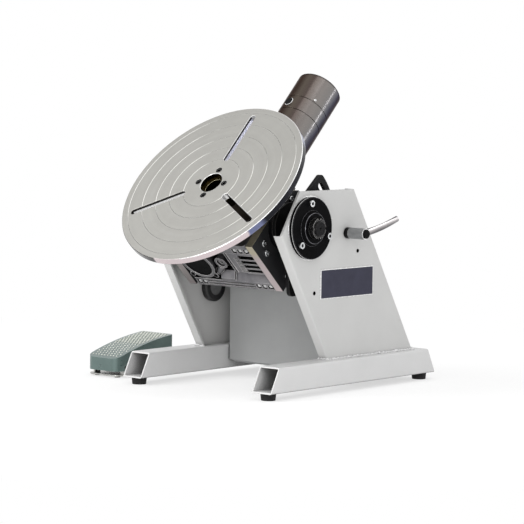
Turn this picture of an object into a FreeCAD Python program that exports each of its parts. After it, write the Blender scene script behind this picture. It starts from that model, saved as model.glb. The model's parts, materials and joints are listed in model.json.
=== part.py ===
import FreeCAD, Part
import math
import os

# Bench welding positioner: a tilting, turning faceplate on a gearmotor, carried
# between two welded side frames, with a foot pedal that stands beside it.
# X is the tilt axis, +X the clamp-lever side; -Y is the front; Z is up from the floor.
# The origin is on the floor, in the middle of the four feet.

# ---- driving dimensions, millimetres and degrees ----
TABLE_RADIUS = 200.0
TABLE_THICKNESS = 14.0
TABLE_EDGE_CHAMFER = 1.0
TABLE_BORE = 48.0
TABLE_SCREW_PCD = 66.0
TABLE_SCREW_COUNT = 4
TABLE_SCREW_HEAD = 13.0
TABLE_SCREW_SHANK = 8.0
TABLE_SLOT_COUNT = 3
TABLE_SLOT_WIDTH = 13.0
TABLE_SLOT_INNER = 58.0
TABLE_SLOT_OUTER = 180.0
TABLE_FACE_HEIGHT = 124.0
TABLE_AXIS_SETBACK = 3.0

SPINDLE_BORE = 40.0
SPINDLE_DIAMETER = 55.0
SPINDLE_FLANGE = 96.0
SPINDLE_FLANGE_THICKNESS = 13.0
SPINDLE_NUT_DIAMETER = 80.0
SPINDLE_NUT_THICKNESS = 12.0

TILT_REST = 46.0
PIVOT_HEIGHT = 326.0
PIVOT_BEHIND_TUBE_END = 131.0

GEARBOX_RIGHT = 93.0
GEARBOX_LEFT = 117.0
GEARBOX_FRONT = 92.0
GEARBOX_REAR = 92.0
GEARBOX_TOP = 43.0
GEARBOX_BOTTOM = 89.0
GEARBOX_FLANGE = 21.0
GEARBOX_TOP_FLANGE = 26.0
GEARBOX_RECESS = 24.0
GEARBOX_SLOPE = 18.0
GEARBOX_CORNER = 10.0
NECK_DIAMETER = 130.0
NECK_GAP = 4.0
WORM_OFFSET = 75.0
WORM_HEIGHT = -25.0
WORM_BOSS_DIAMETER = 80.0
WORM_CAP_DIAMETER = 67.0
WORM_CAP_SUNK = 1.5
WORM_CAP_LENGTH = 6.5
WORM_LUG_COUNT = 4
WORM_LUG_RADIUS = 6.5
WORM_LUG_CIRCLE = 43.7
FIN_COUNT = 4
FIN_PITCH = 12.9
FIN_THICKNESS = 4.2
FIN_TOP = -2.5
FIN_LENGTH = 44.0
FIN_SETBACK = 2.0
FIN_WEB_TOP = 10.0
SERRATION_COUNT = 9
SERRATION_DEPTH = 2.0
SERRATION_WIDTH = 24.0
SERRATION_PITCH = 4.8
RIB_OFFSET = 31.5
RIB_THICKNESS = 2.0
RIB_SPACING = 5.5
DUCT_DIAMETER = 15.0
DUCT_SETBACK = 11.0
DUCT_END_X = -46.0
DUCT_END_Z = -60.0
PAD_LEFT = -34.0
PAD_RIGHT = 2.0
PAD_HEIGHT = 6.0
OIL_PLUG_X = -14.5
OIL_PLUG_Z = -22.7
OIL_PLUG_BOSS = 29.0
OIL_PLUG_SETBACK = 6.0
OIL_PLUG_DIAMETER = 19.0
OIL_PLUG_DEPTH = 8.0
OIL_PLUG_SUNK = 3.0
EAR_DEPTH = 6.0
EAR_HEIGHT = 12.0
BAR_GROOVE_LEFT = -80.0
BAR_GROOVE_RIGHT = 46.0
EAR_LENGTH = 11.0

CHEEK_THICKNESS = 18.0
CHEEK_FRONT = 92.0
CHEEK_REAR = 80.0
CHEEK_CHAMFER = 26.0

STAGE_LENGTH = 56.0
STAGE_WALL = 6.0
MOTOR_DIAMETER = 96.0
MOTOR_OFFSET = 41.0
MOTOR_HEIGHT = -23.0
MOTOR_END = 392.0
MOTOR_CAP_LENGTH = 64.0
MOTOR_RING_LENGTH = 34.0
MOTOR_SEAM = 1.6
MOTOR_GLAND_DIAMETER = 17.0
MOTOR_GLAND_ANGLE = 97.5

SECTOR_THICKNESS = 8.0
SECTOR_RADIUS = 137.0
SECTOR_MARGIN = 18.0
SECTOR_SLOT_WIDTH = 14.0
TILT_MIN = 0.0
TILT_MAX = 120.0
STOP_PLAY = 2.0

TRUNNION_FLANGE = 96.0
TRUNNION_FLANGE_THICKNESS = 10.0
TRUNNION_DIAMETER = 40.0
TRUNNION_THREAD = 30.0
TRUNNION_END = 204.0
RUNNING_FIT = 0.05
FREE_GAP = 0.5

FRAME_OUTER = 175.0
FRAME_SHEET = 5.0
FRAME_FLANGE = 20.5
FRAME_TOP = 398.0
FRAME_TOP_FRONT = -30.0
FRAME_TOP_REAR = 139.0
FRAME_KNEE_Y = -83.0
FRAME_KNEE_Z = 313.0
FRAME_FOOT_FRONT = 63.0
FRAME_HOLE = 8.0

TUBE_SIZE = 50.0
TUBE_WALL = 3.0
TUBE_LENGTH = 520.0
TUBE_MITRE = 25.0
TUBE_OUTER = 195.0
TUBE_CORNER = 4.0
FOOT_HEIGHT = 14.0
FOOT_DIAMETER = 31.0
FOOT_INSET = 21.0
FOOT_TAPER = 1.5
CROSS_TUBE = 40.0
CROSS_TUBE_INSET = 11.0

PIVOT_FLANGE_RADIUS = 61.0
PIVOT_FLANGE_THICKNESS = 8.0
PIVOT_BOSS_RADIUS = 33.0
PIVOT_BOSS_HEIGHT = 7.0
PIVOT_SPIGOT_RADIUS = 38.0
PIVOT_SCREW_COUNT = 3
PIVOT_SCREW_RADIUS = 49.0
PIVOT_SCREW_HEAD = 13.0
PIVOT_SCREW_HEAD_HEIGHT = 7.0
PIVOT_SCREW_SHANK = 8.0
LOCKNUT_RADIUS = 20.0
LOCKNUT_THICKNESS = 10.0
LOCKNUT_SLOTS = 4

LEVER_BEHIND = 117.0
LEVER_BELOW = 14.0
LEVER_STUD = 12.0
LEVER_COLLAR_RADIUS = 11.0
LEVER_COLLAR_LENGTH = 9.0
LEVER_HUB_RADIUS = 11.0
LEVER_HUB_LENGTH = 37.0
LEVER_CAP_RADIUS = 9.0
LEVER_CAP_LENGTH = 5.0
LEVER_ARM_OUT = 34.0
LEVER_ARM_BACK = 68.0
LEVER_ARM_UP = 29.0
LEVER_ARM_DIAMETER = 14.0

BOX_HALF_WIDTH = 141.0
BOX_FRONT = 130.0
BOX_BOTTOM = 32.0
BOX_TOP = 235.0
BOX_SHEET = 2.0
BOX_REAR_INSET = 24.0
BOX_LIP = 4.0
BOX_LIP_SETBACK = 6.0
PANEL_THICKNESS = 3.0
STOP_TRAVEL = 4.0
BRACKET_LENGTH = 40.0
BRACKET_HEIGHT = 30.0
BRACKET_SHEET = 3.0
BRACKET_INSET = 62.0
BRACKET_REAR_INSET = 47.0
CONTROL_HEIGHT = 150.0
SOCKET_HEIGHT = 80.0

TRANSFORMER_WIDTH = 80.0
TRANSFORMER_DEPTH = 70.0
TRANSFORMER_HEIGHT = 68.0
TRANSFORMER_LEG = 10.0
TRANSFORMER_INSET = 41.0
COIL_OVERHANG = 10.0
CONTENTS_SETBACK = 20.0
BOARD_LENGTH = 100.0
BOARD_DEPTH = 90.0
BOARD_THICKNESS = 2.0
BOARD_LIFT = 10.0
BOARD_INSET = 31.0
HEATSINK_LENGTH = 40.0
HEATSINK_DEPTH = 70.0
HEATSINK_HEIGHT = 28.0

PLATE_LENGTH = 162.0
PLATE_HEIGHT = 55.0
PLATE_THICKNESS = 1.5
PLATE_MID_Y = 118.5
PLATE_MID_Z = 214.0

EARTH_Y = 105.0
EARTH_Z = 184.0
EARTH_RADIUS = 31.0
EARTH_CORE_RADIUS = 18.0
EARTH_PROUD = 13.0

PEDAL_RIGHT = -256.0
PEDAL_FRONT = -85.0
PEDAL_WIDTH = 88.0
PEDAL_LENGTH = 168.0
PEDAL_FRONT_HEIGHT = 38.0
PEDAL_REAR_HEIGHT = 80.0
PEDAL_CROWN = 6.0
PEDAL_WALL = 3.0
PEDAL_CORNER = 18.0
PEDAL_REAR_CORNER = 6.0
PEDAL_FOOT = 3.0
PEDAL_BASE = 3.0
PEDAL_TRAVEL_GAP = 7.0
PEDAL_PIN_DIAMETER = 8.0
PEDAL_PIN_Y = 26.0
PEDAL_PIN_Z = 20.0
PEDAL_SPRING_LENGTH = 46.0
PEDAL_GLAND = 12.0

# ---- derived places ----
PIVOT_Y = -(TUBE_LENGTH / 2 - PIVOT_BEHIND_TUBE_END)
FRAME_FOOT_REAR = TUBE_LENGTH / 2 - CROSS_TUBE_INSET - CROSS_TUBE - PIVOT_Y
TUBE_TOP = FOOT_HEIGHT + TUBE_SIZE
FRAME_INNER = FRAME_OUTER - FRAME_SHEET
CHEEK_RIGHT_OUT = GEARBOX_RIGHT + CHEEK_THICKNESS
CHEEK_LEFT_OUT = GEARBOX_LEFT + CHEEK_THICKNESS
TABLE_BACK = TABLE_FACE_HEIGHT - TABLE_THICKNESS
FLANGE_BACK = TABLE_BACK - SPINDLE_FLANGE_THICKNESS
NECK_TOP = FLANGE_BACK - NECK_GAP
LEVER_RADIUS = math.hypot(LEVER_BEHIND, LEVER_BELOW)
LEVER_ANGLE = -math.degrees(math.atan2(LEVER_BELOW, LEVER_BEHIND))
SECTOR_IN = CHEEK_RIGHT_OUT + TRUNNION_FLANGE_THICKNESS
SECTOR_OUT = SECTOR_IN + SECTOR_THICKNESS
PIVOT_FACE = FRAME_OUTER + PIVOT_FLANGE_THICKNESS
BOSS_FACE = PIVOT_FACE + PIVOT_BOSS_HEIGHT
REAR_SLOPE = (FRAME_FOOT_REAR - FRAME_TOP_REAR) / (FRAME_TOP - TUBE_TOP)
PIVOT = FreeCAD.Vector(0, PIVOT_Y, PIVOT_HEIGHT)
X_AXIS = FreeCAD.Vector(1, 0, 0)
Y_AXIS = FreeCAD.Vector(0, 1, 0)
Z_AXIS = FreeCAD.Vector(0, 0, 1)

os.makedirs("parts", exist_ok=True)


def vec(x, y, z):
    return FreeCAD.Vector(x, y, z)


def block(x0, x1, y0, y1, z0, z1):
    return Part.makeBox(x1 - x0, y1 - y0, z1 - z0, vec(x0, y0, z0))


def rod(radius, start, end):
    way = end - start
    return Part.makeCylinder(radius, way.Length, start, way)


def x_rod(radius, x0, x1, y, z):
    return rod(radius, vec(x0, y, z), vec(x1, y, z))


def y_rod(radius, y0, y1, x, z):
    return rod(radius, vec(x, y0, z), vec(x, y1, z))


def z_rod(radius, z0, z1, x=0.0, y=0.0):
    return rod(radius, vec(x, y, z0), vec(x, y, z1))


def x_prism(points, x0, x1):
    """Extrude a closed outline of (y, z) points along X."""
    corners = [vec(x0, y, z) for y, z in points]
    face = Part.Face(Part.makePolygon(corners + corners[:1]))
    return face.extrude(vec(x1 - x0, 0, 0))


def fuse(shapes):
    whole = shapes[0].multiFuse(shapes[1:]) if len(shapes) > 1 else shapes[0]
    return whole.removeSplitter()


def group(shapes):
    return Part.makeCompound(shapes)


def round_edges(shape, radius, pick):
    edges = [e for e in shape.Edges if pick(e)]
    return shape.makeFillet(radius, edges)


def along(edge, axis):
    if not isinstance(edge.Curve, Part.Line):
        return False
    return abs(abs(edge.Curve.Direction.dot(axis)) - 1) < 1e-6


def mirrored(shape):
    return shape.mirror(vec(0, 0, 0), X_AXIS)


def from_pivot(shape):
    """Carry a piece drawn about the pivot, upright, to its place on the frame."""
    moved = shape.copy()
    moved.translate(vec(0, PIVOT_Y, 0))
    return moved


def tilted(shape):
    """Carry a piece drawn in the tilting head to its place at the rest tilt."""
    moved = shape.copy()
    moved.rotate(vec(0, 0, 0), X_AXIS, TILT_REST)
    moved.translate(PIVOT)
    return moved


def save(name, shape):
    shape.exportStep("parts/" + name + ".step")


def socket_screw(head_diameter, head_height, shank, length):
    """Socket-head screw along Z, the underside of its head at zero."""
    head = z_rod(head_diameter / 2, 0, head_height)
    flats = Part.makePolygon([
        vec(head_diameter * 0.29 * math.cos(math.radians(60 * i)),
            head_diameter * 0.29 * math.sin(math.radians(60 * i)), head_height * 0.45)
        for i in range(7)])
    socket = Part.Face(flats).extrude(vec(0, 0, head_height))
    return head.cut(socket).fuse(z_rod(shank / 2, -length, 0)).removeSplitter()


def aim(shape, direction, place):
    """Turn a piece drawn along Z to a direction and put it in place."""
    moved = shape.copy()
    moved.Placement = FreeCAD.Placement(place, FreeCAD.Rotation(Z_AXIS, direction))
    return moved


# ---- welded frame ----
def side_frame():
    """Right-hand side frame: a bent sheet with flanges turned in at front and rear."""
    outline = [
        (FRAME_TOP_FRONT, FRAME_TOP),
        (FRAME_TOP_REAR, FRAME_TOP),
        (FRAME_FOOT_REAR, TUBE_TOP),
        (FRAME_FOOT_FRONT, TUBE_TOP),
        (FRAME_KNEE_Y, FRAME_KNEE_Z),
    ]
    web = x_prism(outline, FRAME_INNER, FRAME_OUTER)
    inner = FRAME_OUTER - FRAME_FLANGE
    drop = FRAME_KNEE_Z - TUBE_TOP
    front_run = FRAME_FOOT_FRONT - FRAME_KNEE_Y
    front_step = FRAME_SHEET * math.hypot(front_run, drop) / drop
    rear_run = FRAME_FOOT_REAR - FRAME_TOP_REAR
    rear_drop = FRAME_TOP - TUBE_TOP
    rear_step = FRAME_SHEET * math.hypot(rear_run, rear_drop) / rear_drop
    front = x_prism([
        (FRAME_KNEE_Y, FRAME_KNEE_Z),
        (FRAME_KNEE_Y + front_step, FRAME_KNEE_Z),
        (FRAME_FOOT_FRONT + front_step, TUBE_TOP),
        (FRAME_FOOT_FRONT, TUBE_TOP),
    ], inner, FRAME_OUTER)
    rear = x_prism([
        (FRAME_TOP_REAR, FRAME_TOP),
        (FRAME_FOOT_REAR, TUBE_TOP),
        (FRAME_FOOT_REAR - rear_step, TUBE_TOP),
        (FRAME_TOP_REAR - rear_step, FRAME_TOP),
    ], inner, FRAME_OUTER)
    plate = fuse([web, front, rear])
    bend = FRAME_SHEET * 0.8

    def outer_bend(edge):
        if not isinstance(edge.Curve, Part.Line):
            return False
        ends = [v.Point for v in edge.Vertexes]
        on_face = all(abs(p.x - FRAME_OUTER) < 1e-6 for p in ends)
        low = min(p.z for p in ends) < TUBE_TOP + 1e-6
        return on_face and low and abs(ends[0].z - ends[1].z) > 1
    plate = round_edges(plate, bend, outer_bend)
    hole = x_rod(PIVOT_SPIGOT_RADIUS + RUNNING_FIT, FRAME_INNER - 1, FRAME_OUTER + 1, 0, PIVOT_HEIGHT)
    plate = plate.cut(hole)
    screws = [x_rod(PIVOT_SCREW_SHANK / 2, FRAME_INNER - 1, FRAME_OUTER + 1, y, z)
              for y, z in pivot_screw_places()]
    for tool in screws:
        plate = plate.cut(tool)
    return plate


def pivot_screw_places():
    places = []
    for i in range(PIVOT_SCREW_COUNT):
        turn = math.radians(100 + 360.0 / PIVOT_SCREW_COUNT * i)
        places.append((PIVOT_SCREW_RADIUS * math.cos(turn),
                       PIVOT_HEIGHT + PIVOT_SCREW_RADIUS * math.sin(turn)))
    return places


lever_z = PIVOT_HEIGHT - LEVER_BELOW
frame_right = side_frame()
for y, z, radius in ((LEVER_BEHIND, lever_z, LEVER_STUD / 2),
                     (152.0, 275.0, FRAME_HOLE / 2), (18.0, 198.0, FRAME_HOLE / 2)):
    frame_right = frame_right.cut(x_rod(radius, FRAME_INNER - 1, FRAME_OUTER + 1, y, z))
save("side_frame_right", from_pivot(frame_right))
frame_left = mirrored(side_frame())
frame_left = frame_left.cut(x_rod(EARTH_CORE_RADIUS, -FRAME_OUTER - 1, -FRAME_INNER + 1, EARTH_Y, EARTH_Z))
save("side_frame_left", from_pivot(frame_left))


def foot_places():
    reach = TUBE_LENGTH / 2 - FOOT_INSET
    return [(TUBE_OUTER - TUBE_SIZE / 2, side * reach) for side in (-1, 1)]


def foot_tube():
    """Right-hand square tube, its ends cut back towards the top."""
    half = TUBE_LENGTH / 2
    outline = [(-half, FOOT_HEIGHT), (half, FOOT_HEIGHT),
               (half - TUBE_MITRE, TUBE_TOP), (-half + TUBE_MITRE, TUBE_TOP)]
    inside = TUBE_OUTER - TUBE_SIZE
    blank = block(inside, TUBE_OUTER, -half - 5, half + 5, FOOT_HEIGHT, TUBE_TOP)
    blank = round_edges(blank, TUBE_CORNER, lambda e: along(e, Y_AXIS))
    core = block(inside + TUBE_WALL, TUBE_OUTER - TUBE_WALL, -half - 6, half + 6,
                 FOOT_HEIGHT + TUBE_WALL, TUBE_TOP - TUBE_WALL)
    return blank.cut(core).common(x_prism(outline, inside - 1, TUBE_OUTER + 1))


save("foot_tube_right", foot_tube())
save("foot_tube_left", mirrored(foot_tube()))


def rubber_foot(x, y):
    taper = FOOT_TAPER
    radius = FOOT_DIAMETER / 2
    return Part.makeCone(radius, radius - taper, FOOT_HEIGHT, vec(x, y, FOOT_HEIGHT), -Z_AXIS)


feet = [rubber_foot(side * x, y) for side in (-1, 1) for x, y in foot_places()]
save("rubber_feet", group(feet))

cross_inner = TUBE_OUTER - TUBE_SIZE
cross_y = PIVOT_Y + FRAME_FOOT_REAR
cross_z = FOOT_HEIGHT + (TUBE_SIZE - CROSS_TUBE) / 2
cross = block(-cross_inner, cross_inner, cross_y, cross_y + CROSS_TUBE, cross_z, cross_z + CROSS_TUBE)
cross = round_edges(cross, TUBE_CORNER, lambda e: along(e, X_AXIS))
cross = cross.cut(block(-cross_inner - 1, cross_inner + 1,
                        cross_y + TUBE_WALL, cross_y + CROSS_TUBE - TUBE_WALL,
                        cross_z + TUBE_WALL, cross_z + CROSS_TUBE - TUBE_WALL))
save("cross_tube", cross)


# ---- tilt bearings on the side frames ----
def rims_beyond(shape, x):
    return [e for e in shape.Edges if isinstance(e.Curve, Part.Circle) and e.Curve.Center.x > x]


def pivot_bearing():
    disc = x_rod(PIVOT_FLANGE_RADIUS, FRAME_OUTER, PIVOT_FACE, 0, PIVOT_HEIGHT)
    disc = disc.makeChamfer(1.5, rims_beyond(disc, PIVOT_FACE - 1))
    boss = Part.makeCone(PIVOT_BOSS_RADIUS + 2, PIVOT_BOSS_RADIUS - 3, PIVOT_BOSS_HEIGHT,
                         vec(PIVOT_FACE, 0, PIVOT_HEIGHT), X_AXIS)
    spigot = x_rod(PIVOT_SPIGOT_RADIUS, FRAME_INNER, FRAME_OUTER, 0, PIVOT_HEIGHT)
    body = fuse([disc, boss, spigot])
    bore = x_rod(TRUNNION_DIAMETER / 2 + RUNNING_FIT, FRAME_INNER - 1, BOSS_FACE + 1, 0, PIVOT_HEIGHT)
    body = body.cut(bore)
    for y, z in pivot_screw_places():
        body = body.cut(x_rod(PIVOT_SCREW_SHANK / 2, FRAME_OUTER - 1, PIVOT_FACE + 1, y, z))
    return body


def pivot_screws():
    grip = PIVOT_FLANGE_THICKNESS + FRAME_SHEET
    screw = socket_screw(PIVOT_SCREW_HEAD, PIVOT_SCREW_HEAD_HEIGHT, PIVOT_SCREW_SHANK, grip + 3)
    return [aim(screw, X_AXIS, vec(PIVOT_FACE, y, z)) for y, z in pivot_screw_places()]


save("pivot_bearing_right", from_pivot(pivot_bearing()))
save("pivot_bearing_left", from_pivot(mirrored(pivot_bearing())))
both = [from_pivot(s) for s in pivot_screws()] + [from_pivot(mirrored(s)) for s in pivot_screws()]
save("pivot_screws", group(both))


# ---- tilting head: cheeks, trunnions, sector ----
def cheek(inner):
    outline = [
        (-CHEEK_FRONT, GEARBOX_TOP),
        (CHEEK_REAR - CHEEK_CHAMFER, GEARBOX_TOP),
        (CHEEK_REAR, GEARBOX_TOP - CHEEK_CHAMFER),
        (CHEEK_REAR, -GEARBOX_BOTTOM + CHEEK_CHAMFER),
        (CHEEK_REAR - CHEEK_CHAMFER, -GEARBOX_BOTTOM),
        (-CHEEK_FRONT, -GEARBOX_BOTTOM),
    ]
    return x_prism(outline, inner, inner + CHEEK_THICKNESS)


save("cheek_right", tilted(cheek(GEARBOX_RIGHT)))
save("cheek_left", tilted(mirrored(cheek(GEARBOX_LEFT))))


def turned(radius, angle):
    return radius * math.cos(math.radians(angle)), radius * math.sin(math.radians(angle))


def trunnion(cheek_out):
    """Stepped pivot shaft with a flange on the cheek and a threaded end."""
    flange = x_rod(TRUNNION_FLANGE / 2, cheek_out, cheek_out + TRUNNION_FLANGE_THICKNESS, 0, 0)
    shaft = x_rod(TRUNNION_DIAMETER / 2, cheek_out, BOSS_FACE, 0, 0)
    thread = x_rod(TRUNNION_THREAD / 2, BOSS_FACE, TRUNNION_END, 0, 0)
    thread = thread.makeChamfer(1.5, rims_beyond(thread, TRUNNION_END - 1))
    centre = Part.makeCone(0.5, 4, 4, vec(TRUNNION_END - 4, 0, 0), X_AXIS)
    return fuse([flange, shaft, thread]).cut(centre)


def locknut():
    nut = x_rod(LOCKNUT_RADIUS, BOSS_FACE + FREE_GAP, BOSS_FACE + FREE_GAP + LOCKNUT_THICKNESS, 0, 0)
    nut = nut.cut(x_rod(TRUNNION_THREAD / 2, 0, TRUNNION_END + 5, 0, 0))
    for i in range(LOCKNUT_SLOTS):
        slot = block(BOSS_FACE, TRUNNION_END, -3, 3, LOCKNUT_RADIUS - 3, LOCKNUT_RADIUS + 3)
        slot.rotate(vec(0, 0, 0), X_AXIS, 45 + 360.0 / LOCKNUT_SLOTS * i)
        nut = nut.cut(slot)
    return nut


save("trunnion_right", tilted(trunnion(CHEEK_RIGHT_OUT)))
save("trunnion_left", tilted(mirrored(trunnion(CHEEK_LEFT_OUT))))
save("trunnion_locknuts", group([tilted(locknut()), tilted(mirrored(locknut()))]))


def sector_plate():
    """Plate with the arc slot that the clamp stud runs in, drawn at zero tilt."""
    low = LEVER_ANGLE - (TILT_MAX - TILT_MIN) - STOP_PLAY
    high = LEVER_ANGLE + STOP_PLAY
    disc = x_rod(SECTOR_RADIUS, SECTOR_IN, SECTOR_OUT, 0, 0)
    reach = SECTOR_RADIUS * 2

    def side(angle, sign):
        normal = turned(SECTOR_MARGIN, angle + 90 * sign)
        far = turned(reach, angle)
        back = turned(-reach, angle)
        out = turned(reach, angle + 90 * sign)
        return x_prism([
            (normal[0] + far[0], normal[1] + far[1]),
            (normal[0] + back[0], normal[1] + back[1]),
            (normal[0] + back[0] + out[0], normal[1] + back[1] + out[1]),
            (normal[0] + far[0] + out[0], normal[1] + far[1] + out[1]),
        ], SECTOR_IN - 1, SECTOR_OUT + 1)
    plate = disc.cut(side(high, 1)).cut(side(low, -1))
    corners = [e for e in plate.Edges if along(e, X_AXIS)
               and math.hypot(e.Vertexes[0].Y, e.Vertexes[0].Z) > SECTOR_RADIUS - 1]
    plate = plate.makeFillet(10, corners)
    hub = x_rod(TRUNNION_FLANGE / 2, SECTOR_IN, SECTOR_OUT, 0, 0)
    plate = fuse([plate, hub])
    half = SECTOR_SLOT_WIDTH / 2
    ring = x_rod(LEVER_RADIUS + half, SECTOR_IN - 1, SECTOR_OUT + 1, 0, 0)
    ring = ring.cut(x_rod(LEVER_RADIUS - half, SECTOR_IN - 2, SECTOR_OUT + 2, 0, 0))
    far_low = turned(reach, low)
    far_mid = turned(reach, (low + high) / 2)
    far_high = turned(reach, high)
    wedge = x_prism([(0, 0), far_low, far_mid, far_high], SECTOR_IN - 1, SECTOR_OUT + 1)
    plate = plate.cut(ring.common(wedge))
    for angle in (low, high):
        y, z = turned(LEVER_RADIUS, angle)
        plate = plate.cut(x_rod(half, SECTOR_IN - 1, SECTOR_OUT + 1, y, z))
    return plate.cut(x_rod(TRUNNION_DIAMETER / 2, SECTOR_IN - 1, SECTOR_OUT + 1, 0, 0))


save("sector_plate", tilted(sector_plate()))


# ---- worm gearbox ----
def gearbox():
    left = -GEARBOX_LEFT
    right = GEARBOX_RIGHT
    front = -GEARBOX_FRONT
    rear = GEARBOX_REAR
    low = -GEARBOX_BOTTOM
    top = GEARBOX_TOP
    flange_top = low + GEARBOX_FLANGE
    bars = [block(left, right, front, rear, low, flange_top),
            block(left, right, front, rear, top - GEARBOX_TOP_FLANGE, top)]
    bars = [round_edges(b, GEARBOX_CORNER, lambda e: along(e, Z_AXIS)) for b in bars]
    core = block(left + 4, right, front + GEARBOX_RECESS, rear - GEARBOX_RECESS, low + 2, top - 2)
    sides = [block(right - 3, right, front + 6, rear - 6, low + 2, top - 2),
             block(left, left + 10, front + 20, rear - 20, low + 2, top - 2)]
    boss = y_rod(WORM_BOSS_DIAMETER / 2, front, rear, -WORM_OFFSET, WORM_HEIGHT)
    neck = z_rod(NECK_DIAMETER / 2, top - 5, NECK_TOP, 0, -TABLE_AXIS_SETBACK)
    tail = z_rod(NECK_DIAMETER / 2 - 10, low - 4, low + 5, 0, -TABLE_AXIS_SETBACK)
    details = [front_details(sign) for sign in (1, -1)]
    lugs = []
    for i in range(WORM_LUG_COUNT):
        x, z = turned(WORM_LUG_CIRCLE, 45 + 360.0 / WORM_LUG_COUNT * i)
        lugs.append(y_rod(WORM_LUG_RADIUS, front, front + GEARBOX_RECESS + 1,
                          x - WORM_OFFSET, z + WORM_HEIGHT))
    house = fuse(bars + [core] + sides + [boss, neck, tail] + details + lugs)
    for z in (low + 5, low + 13):
        groove = block(BAR_GROOVE_LEFT, BAR_GROOVE_RIGHT, front - 1, front + 3, z, z + 3)
        house = house.cut(groove).cut(groove.mirror(vec(0, (front + rear) / 2, 0), Y_AXIS))
    for end, sign in ((front, 1), (rear, -1)):
        for x, z in ear_places():
            y0, y1 = sorted((end - sign, end + sign * EAR_DEPTH))
            pocket = block(x - EAR_LENGTH / 2, x + EAR_LENGTH / 2, y0, y1,
                           z - EAR_HEIGHT / 2, z + EAR_HEIGHT / 2)
            house = house.cut(pocket)
    cap_seat = front + WORM_CAP_SUNK + WORM_CAP_LENGTH
    house = house.cut(y_rod(WORM_CAP_DIAMETER / 2 + RUNNING_FIT, front - 1, cap_seat,
                            -WORM_OFFSET, WORM_HEIGHT))
    plug_front = front + OIL_PLUG_SETBACK
    house = house.cut(y_rod(OIL_PLUG_DIAMETER / 2, plug_front - 1, plug_front + OIL_PLUG_DEPTH,
                            OIL_PLUG_X, OIL_PLUG_Z))
    bore = z_rod(SPINDLE_DIAMETER / 2 + RUNNING_FIT, low - 10, NECK_TOP + 1, 0, -TABLE_AXIS_SETBACK)
    return house.cut(bore)


def front_details(sign):
    """Fins, toothed band, ribs and sloping pad on the front, or the same on the rear."""
    front = -GEARBOX_FRONT
    face = front + GEARBOX_RECESS + 1
    right = GEARBOX_RIGHT
    x0 = right - FIN_LENGTH
    flange_top = -GEARBOX_BOTTOM + GEARBOX_FLANGE
    web_top = GEARBOX_TOP - GEARBOX_TOP_FLANGE
    near = front + FIN_SETBACK
    fins = []
    for i in range(FIN_COUNT):
        mid = FIN_TOP - FIN_PITCH * i
        fins.append(block(x0 - 1, right, near, face, mid - FIN_THICKNESS / 2, mid + FIN_THICKNESS / 2))
    fins.append(block(x0 - 1, right, near, face, FIN_WEB_TOP, web_top + 1))
    lowest = FIN_TOP - FIN_PITCH * (FIN_COUNT - 1) - FIN_THICKNESS / 2
    band = block(x0 - SERRATION_WIDTH, x0, near, face, lowest + 3, web_top + 1)
    for i in range(SERRATION_COUNT):
        z = lowest + 5 + SERRATION_PITCH * i
        tooth = block(x0 - SERRATION_WIDTH / 2, x0 + 1, near - 1, near + SERRATION_DEPTH,
                      z, z + SERRATION_PITCH / 2)
        band = band.cut(tooth)
    ribs = []
    for i in range(2):
        x = x0 - RIB_OFFSET + RIB_SPACING * i
        ribs.append(block(x, x + RIB_THICKNESS, near - 1, face, lowest + 1, web_top + 1))
    slope = x_prism([(front, flange_top - 1), (front, flange_top),
                     (front + GEARBOX_SLOPE, flange_top + GEARBOX_SLOPE),
                     (face, flange_top + GEARBOX_SLOPE), (face, flange_top - 1)], PAD_LEFT, right)
    pad = x_prism([(front, flange_top - 1), (front, flange_top + PAD_HEIGHT),
                   (front + GEARBOX_SLOPE - PAD_HEIGHT, flange_top + GEARBOX_SLOPE),
                   (face, flange_top + GEARBOX_SLOPE), (face, flange_top - 1)], PAD_LEFT, PAD_RIGHT)
    plug_boss = y_rod(OIL_PLUG_BOSS / 2, front + OIL_PLUG_SETBACK, face, OIL_PLUG_X, OIL_PLUG_Z)
    duct = rod(DUCT_DIAMETER / 2, vec(OIL_PLUG_X - 5, front + DUCT_SETBACK, OIL_PLUG_Z - 11),
               vec(DUCT_END_X, front + DUCT_SETBACK, DUCT_END_Z))
    duct_end = Part.makeSphere(DUCT_DIAMETER / 2, vec(DUCT_END_X, front + DUCT_SETBACK, DUCT_END_Z))
    whole = fuse(fins + [band] + ribs + [slope, pad, plug_boss, duct, duct_end])
    if sign < 0:
        whole = whole.mirror(vec(0, (GEARBOX_REAR - GEARBOX_FRONT) / 2, 0), Y_AXIS)
    return whole


def ear_places():
    low = -GEARBOX_BOTTOM + 9.5
    top = GEARBOX_TOP - GEARBOX_TOP_FLANGE + 9
    right = [54.0, 69.0, 84.0]
    left = [-102.0, -88.0]
    return [(x, top) for x in right] + [(x, low) for x in left + right]


save("gearbox_housing", tilted(gearbox()))

cap_front = -GEARBOX_FRONT + WORM_CAP_SUNK
cap = y_rod(WORM_CAP_DIAMETER / 2, cap_front, cap_front + WORM_CAP_LENGTH, -WORM_OFFSET, WORM_HEIGHT)
save("worm_end_cap", tilted(cap))

plug_front = -GEARBOX_FRONT + OIL_PLUG_SETBACK
plug = y_rod(OIL_PLUG_DIAMETER / 2, plug_front + OIL_PLUG_SUNK, plug_front + OIL_PLUG_DEPTH,
             OIL_PLUG_X, OIL_PLUG_Z)
corners = [turned(OIL_PLUG_DIAMETER * 0.22, 60 * i) for i in range(7)]
corners = [vec(OIL_PLUG_X + x, plug_front, OIL_PLUG_Z + z) for x, z in corners]
key = Part.Face(Part.makePolygon(corners)).extrude(vec(0, OIL_PLUG_SUNK + 3, 0))
save("oil_plug", tilted(plug.cut(key)))


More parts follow.
